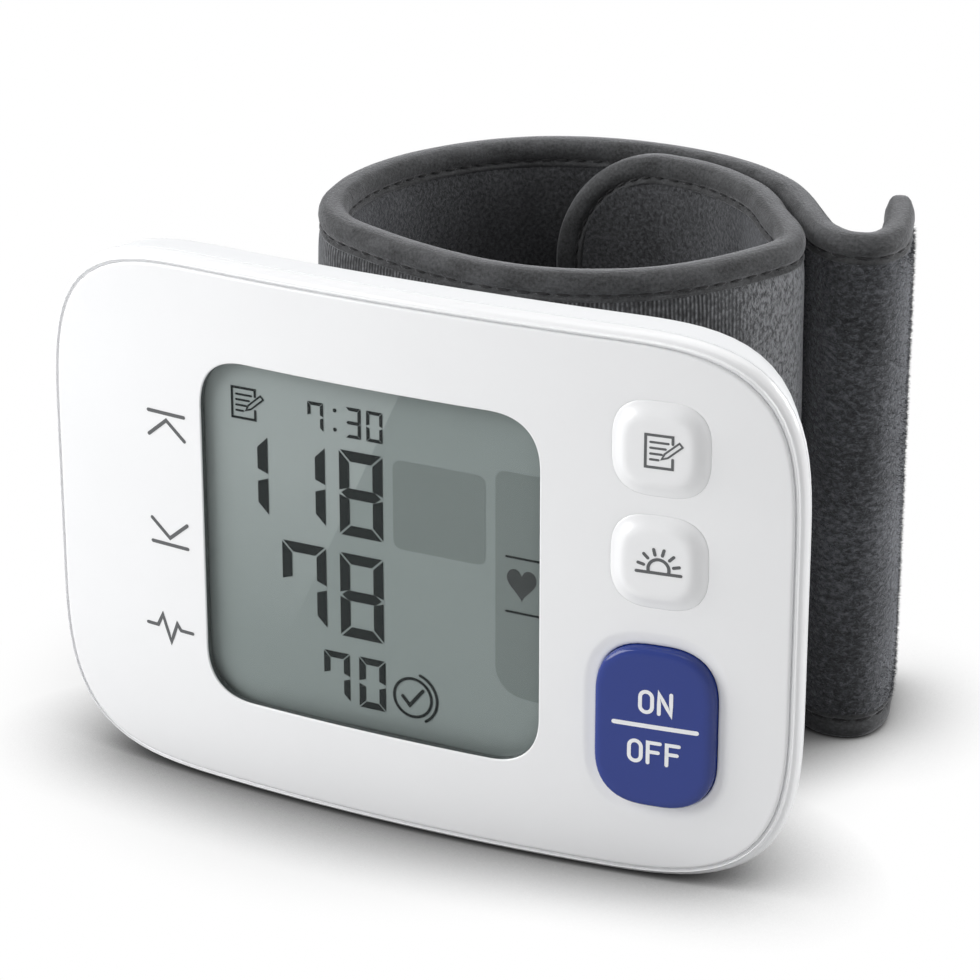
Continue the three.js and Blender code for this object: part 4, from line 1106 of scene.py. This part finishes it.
def strap_curve():
    """The cuff's path in plan: a centripetal spline, sampled closely."""
    pts = np.array([(LOOP["x"] + a * LOOP["width"], LOOP["y"] + b * LOOP["depth"])
                    for a, b in STRAP_SHARES])
    ends = np.concatenate([[2 * pts[0] - pts[1]], pts, [2 * pts[-1] - pts[-2]]])
    out = []
    for k in range(len(pts) - 1):
        p0, p1, p2, p3 = ends[k:k + 4]
        d0, d1, d2 = (max(np.linalg.norm(b - a) ** 0.5, 1e-4)
                      for a, b in ((p0, p1), (p1, p2), (p2, p3)))
        t1 = (p1 - p0) / d0 - (p2 - p0) / (d0 + d1) + (p2 - p1) / d1
        t2 = (p2 - p1) / d1 - (p3 - p1) / (d1 + d2) + (p3 - p2) / d2
        t1, t2 = t1 * d1, t2 * d1
        t = np.linspace(0, 1, 80, endpoint=k == len(pts) - 2)[:, None]
        c2 = -3 * p1 + 3 * p2 - 2 * t1 - t2
        c3 = 2 * p1 - 2 * p2 + t1 + t2
        out.append(p1 + t1 * t + c2 * t**2 + c3 * t**3)
    line = np.concatenate(out)
    return line, run_along(line)


LINE, RUN = strap_curve()
LENGTH = RUN[-1]
TANGENT_STEP = 0.6


def surface(a, z, push):
    """A point of the cuff: a along it, z up it, push out of its middle."""
    a, z, push = np.broadcast_arrays(*(np.asarray(v, float) for v in (a, z, push)))
    clipped = np.clip(a, 0, LENGTH)
    x, y = np.interp(clipped, RUN, LINE[:, 0]), np.interp(clipped, RUN, LINE[:, 1])
    lo, hi = (np.clip(clipped + step, 0, LENGTH) for step in (-TANGENT_STEP, TANGENT_STEP))
    push = push * (1 - TIP_SLIM * np.clip(1 - (LENGTH - a) / TIP_REACH, 0, 1) ** 1.5)
    ahead = np.clip((LENGTH - a) / TIP_ROUND, 0, 1)
    push = push * (0.25 + 0.75 * np.sqrt(1 - (1 - ahead) ** 2))
    tx = np.interp(hi, RUN, LINE[:, 0]) - np.interp(lo, RUN, LINE[:, 0])
    ty = np.interp(hi, RUN, LINE[:, 1]) - np.interp(lo, RUN, LINE[:, 1])
    size = np.hypot(tx, ty)
    tx, ty = tx / size, ty / size
    over = a - clipped
    return np.stack([x + tx * over - ty * push, y + ty * over + tx * push, z], -1)



def edge_path(a0, a1, corner=0, turned=False, step=0.7):
    """Where a piece's edge runs, as (a, z) with the way inward: along the bottom
    and, if its far end has rounded corners, round that end and back along the
    top. Turned, it starts along the top and rounds the near end."""
    low, high, r = FLOOR_Z, STRAP_TOP, corner
    out = []

    def run(p, q, inward):
        for t in np.linspace(0, 1, max(2, int(math.dist(p, q) / step))):
            out.append((p[0] + (q[0] - p[0]) * t, p[1] + (q[1] - p[1]) * t, *inward))

    def bend(z, start):
        for d in np.radians(np.linspace(start, start + 90, max(6, int(math.pi / 2 * r / step)))):
            c, s = math.cos(d), math.sin(d)
            out.append((a1 - r + r * c, z + r * s, -c, -s))

    run((a0, low), (a1 - r, low), (0.0, 1.0))
    if corner:
        bend(low + r, -90)
        run((a1, low + r), (a1, high - r), (-1.0, 0.0))
        bend(high - r, 0)
        run((a1 - r, high), (a0, high), (0.0, -1.0))
    out = np.array(out)
    if turned:
        out = np.array([a0 + a1, low + high, 0.0, 0.0]) - out
    keep = np.concatenate([[True], np.linalg.norm(np.diff(out[:, :2], axis=0), axis=1) > 1e-6])
    return out[keep]


HALF = 1.68
TAPE = [  # from the inner lip over the edge to the outer lip: push, distance in
    (-HALF + 0.3, 3.2), (-HALF + 0.12, 3.12), (-HALF + 0.06, 2.9), (-HALF + 0.16, 2.68),
    (-HALF + 0.34, 2.5), (-HALF + 0.36, 2.36), (-HALF + 0.2, 2.2), (-HALF + 0.06, 1.9),
    (-HALF, 1.45), (-HALF + 0.05, 0.95), (-HALF + 0.22, 0.52), (-HALF + 0.55, 0.2),
    (-HALF + 1.0, 0.04), (0.0, 0.0),
]
TAPE = np.array(TAPE + [(-p, d) for p, d in TAPE[:-1][::-1]])
LIPS = 2.1


def tape(name, path, stands_for):
    """Binding tape folded over an edge, with a sewn groove near its lips."""
    push, d = TAPE.T
    around = run_along(TAPE)
    rings, uv = [], []
    for (a, z, ia, iz), run in zip(path, run_along(path[:, :2])):
        swell = 1 + 0.4 * (0.05 * math.sin(run * 0.45) + 0.03 * math.sin(run * 1.13 + 1))
        swollen = push * np.where(d < LIPS, swell, 1)
        rings.append(surface(a + ia * d, z + iz * d, swollen))
        uv.append(np.stack([np.full(len(d), run), around], 1))
    piece = Form().rings(rings, caps=(0, -1), uv=np.concatenate(uv)).piece(name)
    return dress(set_sharp(piece, 70), "binding", None, stands_for)


STITCH_PITCH = 2.1
STITCH_SIZE = 1.65
STITCH_SIDES = 8
THREAD_RADIUS = 0.17
STITCH_LINE = 2.4  # how far in from the edge, in the tape's groove
GROOVE_DEPTH = 0.4


def stitches(name, path):
    """Thread stitches in the grooves of both faces of the tape, all in one piece."""
    a, z, ia, iz = path.T
    run = run_along(path[:, :2])
    form = Form()
    c, s = turns(STITCH_SIDES)
    around = np.linspace(0, 2 * math.pi, STITCH_SIDES, endpoint=False) * 0.2
    for k in range(int((run[-1] - 0.8) / STITCH_PITCH)):
        for face in (1, -1):
            rings, uv = [], []
            for t in np.arange(7) / 6:
                at = 0.5 + k * STITCH_PITCH + STITCH_SIZE * t
                pa, pz, wa, wz = (np.interp(at, run, v) for v in (a, z, ia, iz))
                swell = max(math.sin(math.pi * t), 0.0) ** 0.5
                r = THREAD_RADIUS * swell + 0.015
                d = STITCH_LINE + r * c
                push = face * (HALF - GROOVE_DEPTH + 0.12 * swell + r * s)
                rings.append(surface(pa + wa * d, pz + wz * d, push))
                uv.append(np.stack([np.full(STITCH_SIDES, at), around], 1))
            form.rings(rings, caps=(0, -1), uv=np.concatenate(uv))
    return dress(form.piece(name), "thread", None)


CLOTH_INSET = 2.75
CLOTH_ROWS = 44
CLOTH_STEP = 0.9
CLOTH_SWELL = 1.4
CLOTH_THICKNESS = 0.0003
END_ROWS = np.array([0, 0.15, 0.4])


def cloth(name, paint, slot, a0, a1, push, puff, stands_for, seed, waves=0.06, corner=0,
          turned=False):
    """One layer of the cuff as a thin sheet, puffed out between its sewn edges.
    Its far end has rounded corners, or turned its near end. Returns it with its
    flat size."""
    inset = CLOTH_INSET
    first = a0 + (inset if turned else 0)
    last = a1 - (inset if corner and not turned else 0)
    a = np.linspace(first, last, max(8, int((last - first) / CLOTH_STEP)))
    drop = np.full(1, inset)
    if corner:
        if turned:
            a = np.concatenate([first + END_ROWS, a[a > first + 0.6]])
        else:
            a = np.concatenate([a[a < last - 0.6], last - END_ROWS[::-1]])
        past = (a - a0 if turned else a1 - a) - inset
        r = max(corner - inset, 0.4)
        round_off = np.sqrt(np.clip(1 - (1 - np.clip(past / r, 0, 1)) ** 2, 0, 1))
        drop = inset + r * (1 - round_off)
    low, high = (np.broadcast_to(v, len(a)) for v in (FLOOR_Z + drop, STRAP_TOP - drop))
    t = np.linspace(0, 1, CLOTH_ROWS)
    t = 0.5 - 0.5 * np.cos(math.pi * t) * (0.35 + 0.65 * np.abs(np.cos(math.pi * t)) ** 0.3)
    z = low[:, None] + (high - low)[:, None] * t[None]
    aa = np.repeat(a[:, None], CLOTH_ROWS, 1)
    edge = np.minimum(z - FLOOR_Z, STRAP_TOP - z) - inset
    if corner:
        edge = np.minimum(edge, past[:, None])
    rise = 1 - np.exp(-np.clip(edge, 0, None) / CLOTH_SWELL)
    ripple = waves * (np.sin(aa * 0.31 + seed) * np.sin(z * 0.17 + seed * 2)
                      + 0.5 * np.sin(aa * 0.83 + z * 0.21 + seed))
    out = push + math.copysign(1, push) * (puff + ripple) * rise
    out = np.clip(out, -HALF - 0.02, HALF + 0.02)
    form = Form().rings(list(surface(aa, z, out)), closed=False,
                        uv=np.stack([aa, z], -1).reshape(-1, 2))
    piece = form.piece(name, fix=False)
    thick = piece.modifiers.new("thickness", "SOLIDIFY")
    thick.thickness, thick.offset = CLOTH_THICKNESS, 0
    bake(piece)
    dress(piece, paint, None, stands_for)
    return piece, ((last - first) * MM, float((high - low).max()) * MM)


FIBRE_HALF_WIDTH = 0.045
FIBRE_RISE = (0.15, 0.6)


def nap(name, paint, slot, a0, a1, root, count, seed):
    """Loose fibres or hooks: thin slivers that stand out and lean all ways."""
    draw = np.random.default_rng(seed)
    a = draw.uniform(a0 + 0.2, a1 - 0.2, count)
    z = draw.uniform(FLOOR_Z + 3.1, STRAP_TOP - 3.1, count)
    rise = draw.uniform(*FIBRE_RISE, count) * np.sign(root)
    lean = draw.normal(0, 0.28, (2, count))
    spin = draw.uniform(0, math.pi, count)
    da, dz = FIBRE_HALF_WIDTH * np.cos(spin), FIBRE_HALF_WIDTH * np.sin(spin)
    left, right = surface(a - da, z - dz, root), surface(a + da, z + dz, root)
    tip = surface(a + lean[0], z + lean[1], root + rise)
    points = np.stack([left, right, tip], 1).reshape(-1, 3)
    uv = np.repeat(np.stack([a, z], 1), 3, axis=0)
    faces = np.arange(count * 3).reshape(-1, 3).tolist()
    piece = collect(name, points, faces, smooth=False, uv=uv, fix=False)
    return dress(piece, paint, None)


PAD_SIDES = 40
PAD_STEP = 1.2
PAD_ROUND = 1.6


def pad(name, paint, slot, a0, a1, inner, outer, low, high, stands_for):
    """A soft filling: a flat pad with rounded edges."""
    a = np.linspace(a0, a1, max(8, int((a1 - a0) / PAD_STEP)))
    c, s = turns(PAD_SIDES)
    around = np.linspace(0, 2 * math.pi, PAD_SIDES, endpoint=False) * 3
    z = (low + high) / 2 + (high - low) / 2 * np.sign(c) * np.abs(c) ** 0.18
    rings = []
    for place in a:
        near = min(place - a0, a1 - place)
        shrink = math.sqrt(min(1.0, max(near, 0.05) / PAD_ROUND))
        half = (outer - inner) / 2 * shrink * np.sign(s) * np.abs(s) ** 0.5
        rings.append(surface(np.full(PAD_SIDES, place), z, (inner + outer) / 2 + half))
    uv = np.concatenate([np.stack([np.full(PAD_SIDES, p), around], 1) for p in a])
    piece = Form().rings(rings, caps=(0, -1), uv=uv).piece(name)
    return dress(piece, paint, None, stands_for)


FLAP = dict(corner=FLAP_CORNER, turned=True)
TIP = dict(corner=TAIL_CORNER)
NAPPED_END = LENGTH - 2.9
CUFF = [
    {  # base: the inner wrap, from its rounded free end to the strap hinge
        "bend": lambda piece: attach(piece, "housing"), "run": (0, BASE_END), "end": FLAP,
        # tape, stitches and what the tape stands for
        "tapes": [("cuff_binding_tape", "cuff_binding_stitches", "cuff_binding", FLAP)],
        # name, paint, slot, from, to, root, count and seed
        "naps": [],
        # what it rests on; name, paint, slot; push, puff, what it stands for, seed, waves
        "layers": [("cuff_curler", ("cuff_outer_knit", "knit", "knit"),
                    (1.25, 0.4, ["cuff_fabric"], 0.4)),
                   ("air_bladder_pouch", ("cuff_inner_velour", "velour", "velour"),
                    (-1.2, 0.45, ["cuff_lining"], 1.7, 0.12))],
        "pad": ("air_bladder_pouch", "bladder", "dark_rubber", STRAP_RUN * 0.1, STRAP_RUN * 0.5,
                -0.85, -0.25, -26, 25, ["air_bladder"]),
        "fill": 0.1,
    },
    {  # strap: from the hinge round the back to the tail hinge
        "bend": lambda piece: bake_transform(piece),
        "run": (BASE_END, STRAP_END), "end": {},
        "tapes": [("strap_tape_top", "strap_stitches_top", "strap_binding_top",
                   dict(turned=True)),
                  ("strap_tape_bottom", "strap_stitches_bottom", "strap_binding_bottom", {})],
        "naps": [("strap_nap", "pile", "knit", BASE_END, STRAP_END, 1.6, 20000, 12)],
        "layers": [("strap_padding", ("strap_outer_pile", "pile", "knit"),
                    (1.25, 0.4, ["strap_fabric"], 2.2)),
                   ("strap_padding", ("strap_inner_velour", "velour", "velour"),
                    (-1.2, 0.45, ["strap_lining"], 3.1, 0.12))],
        "pad": ("strap_padding", "foam", "foam", BASE_END + 1, STRAP_END - 0.5, -0.85, 0.85,
                -27, 26, ["strap_foam"]),
        "fill": 0.2,
    },
    {  # tail: the curled free end with its hook surface
        "bend": lambda piece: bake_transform(piece),
        "run": (STRAP_END, LENGTH), "end": TIP,
        "tapes": [("tail_tape", "tail_stitches", "tail_binding", TIP)],
        "naps": [("tail_nap", "pile", "knit", STRAP_END, NAPPED_END, 1.6, 8000, 11),
                 ("tail_hooks", "hook_tape", "hook_tape", STRAP_END, NAPPED_END, -1.6, 24000,
                  13)],
        "layers": [("tail_padding", ("tail_outer_pile", "pile", "knit"),
                    (1.25, 0.4, ["tail_fabric"], 4.0)),
                   ("tail_padding", ("tail_inner_hooks", "hook_tape", "hook_tape"),
                    (-1.25, 0.35, ["tail_hook_patch"], 5.0))],
        "pad": ("tail_padding", "foam", "foam", STRAP_END + 0.5, LENGTH - 1.6, -0.85, 0.85,
                -27, 26, ["tail_foam"]),
        "fill": 0.2,
    },
]


def cuff():
    for part in CUFF:
        bend, run = part["bend"], part["run"]
        for tape_name, stitches_name, stands_for, edge in part["tapes"]:
            path = edge_path(*run, **edge)
            bend(tape(tape_name, path, [stands_for]))
            bend(stitches(stitches_name, path))
        for row in part["naps"]:
            bend(nap(*row))
        for rests_on, look, shape in part["layers"]:
            piece, flat = cloth(*look, *run, *shape, **part["end"])
            bend(piece)
        bend(pad(*part["pad"]))


# --------------------------------------------------------- carried-over CAD nodes

NODE_PAINTS = {
    "display_holder": "grey_plastic", "display_connector": "dark_rubber",
    "main_board": "board_green", "controller_chip": "black_plastic", "buzzer": "nickel",
    "pump_motor": "steel", "pump_head": "pale_tube", "pump_crank": "pale_tube",
    "pump_diaphragm": "dark_rubber", "valve_body": "black_plastic", "valve_plunger": "pale_tube",
    "valve_spring": "steel", "valve_cap": "black_plastic", "pressure_sensor": "black_plastic",
    "air_manifold": "pale_tube", "cuff_nipple": "pale_tube", "mount_plate": "white_satin",
    "cuff_curler": "grey_plastic",
}



def dress_nodes():
    for name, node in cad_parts.items():
        if not node.hide_render and name != "display_panel":
            plain = "nickel" if "contact" in name else "steel"
            coat(node, NODE_PAINTS.get(name, plain))


# ---------------------------------------------------------------- stage and light

def aimed(name, data, place, target):
    made = bpy.data.objects.new(name, data)
    bpy.context.scene.collection.objects.link(made)
    made.location = place
    made.rotation_euler = (Vector(target) - Vector(place)).to_track_quat("-Z", "Y").to_euler()
    return made


def camera():
    data = bpy.data.cameras.new("camera")
    data.lens, data.sensor_width = 138.37, 36
    data.clip_start, data.clip_end = 0.01, 20
    place, target = to_world((173.56, -326.33, 161.72)), to_world((11.476, 0.0, 11.473))
    bpy.context.scene.camera = aimed("camera", data, place, target)


LAMPS = {  # place, target, size, power
    "key": ((-0.46, -0.33, 0.31), (0, 0, 0.03), (0.45, 0.45), 3.6),
    "top": ((0.05, 0.15, 0.85), (0, 0, 0.02), (0.7, 0.7), 2.6),
    "rim": ((0.55, 0.38, 0.28), (0, 0, 0.03), (0.3, 0.4), 3.2),
}


def lamps():
    for name, (place, target, size, power) in LAMPS.items():
        data = bpy.data.lights.new(name, "AREA")
        data.shape, data.energy = "RECTANGLE", power
        data.size, data.size_y = size
        aimed(name, data, place, target)


def seen_directly(nodes):
    """1 for rays of the camera, through the lens and off gloss, else 0."""
    rays = nodes.add("LightPath").outputs
    kinds = (rays[f"Is {kind} Ray"] for kind in ("Camera", "Glossy", "Transmission"))
    return reduce(partial(nodes.math, "ADD"), kinds)


def backdrop():
    """White where it is seen, and dimmer where it only lights the scene."""
    world = bpy.data.worlds.new("studio")
    bpy.context.scene.world = world
    world.use_nodes = True
    nodes = Nodes(world.node_tree)
    plain = nodes.tree.nodes["Background"]
    nodes.put(plain.inputs["Color"], (1, 1, 1))
    nodes.put(plain.inputs["Strength"], 0.3)
    bright = nodes.add("Background", {"Strength": 1.0})
    both = nodes.mix_shader(seen_directly(nodes), plain, bright)
    nodes.put(nodes.tree.nodes["World Output"].inputs["Surface"], both)


FLOOR_GREY = (0.74, 0.74, 0.74)
FLOOR_SIZE = 3


def floor():
    """A grey sheet that glows white away from the object, with a painted contact shadow: ambient
    occlusion darkens it close under the object.
    """
    paint = Paint("floor", FLOOR_GREY, 0.9)
    away = paint.add("VectorMath", {0: paint.where(), 1: (-0.01, 0.0, 0.0)},
                     operation="DISTANCE").outputs["Value"]
    pale = paint.span(away, (0.12, 1.0), (0.03, 0.057), "SMOOTHSTEP")
    # painted contact shadow: ambient occlusion darkens the floor's colour close under the object,
    # down to a dark grey
    near = paint.add("AmbientOcclusion", {"Distance": 0.014}, samples=8).outputs["AO"]
    free_of_painted_shadow = paint.math("POWER", near, 2.2)
    paint.colored(paint.mix(free_of_painted_shadow, (0.06, 0.06, 0.06), FLOOR_GREY))
    glow = paint.add("Emission", {"Color": (1, 1, 1), "Strength": 1.0})
    whiten = paint.math("MULTIPLY", pale, free_of_painted_shadow)
    whiten = paint.math("MULTIPLY", seen_directly(paint), whiten)
    paint.show(paint.mix_shader(whiten, paint.shader, glow))
    mesh = bpy.data.meshes.new("floor")
    corners = [(x * FLOOR_SIZE, y * FLOOR_SIZE, 0) for x, y in ((-1, -1), (1, -1), (1, 1), (-1, 1))]
    mesh.from_pydata(corners, [], [(0, 1, 2, 3)])
    sheet = bpy.data.objects.new("floor", mesh)
    bpy.context.scene.collection.objects.link(sheet)
    mesh.materials.append(paint.material)


camera()
backdrop()
lamps()
floor()
bpy.context.scene.view_settings.view_transform = "Standard"
face_plate()
front_rim()
rear_shell()
screw_wells()
battery_door()
bay_walls()
batteries()
lens()
window_skirt()
for key_name in KEYS:
    key_cap(key_name)
display()
prints()
cuff()
dress_nodes()
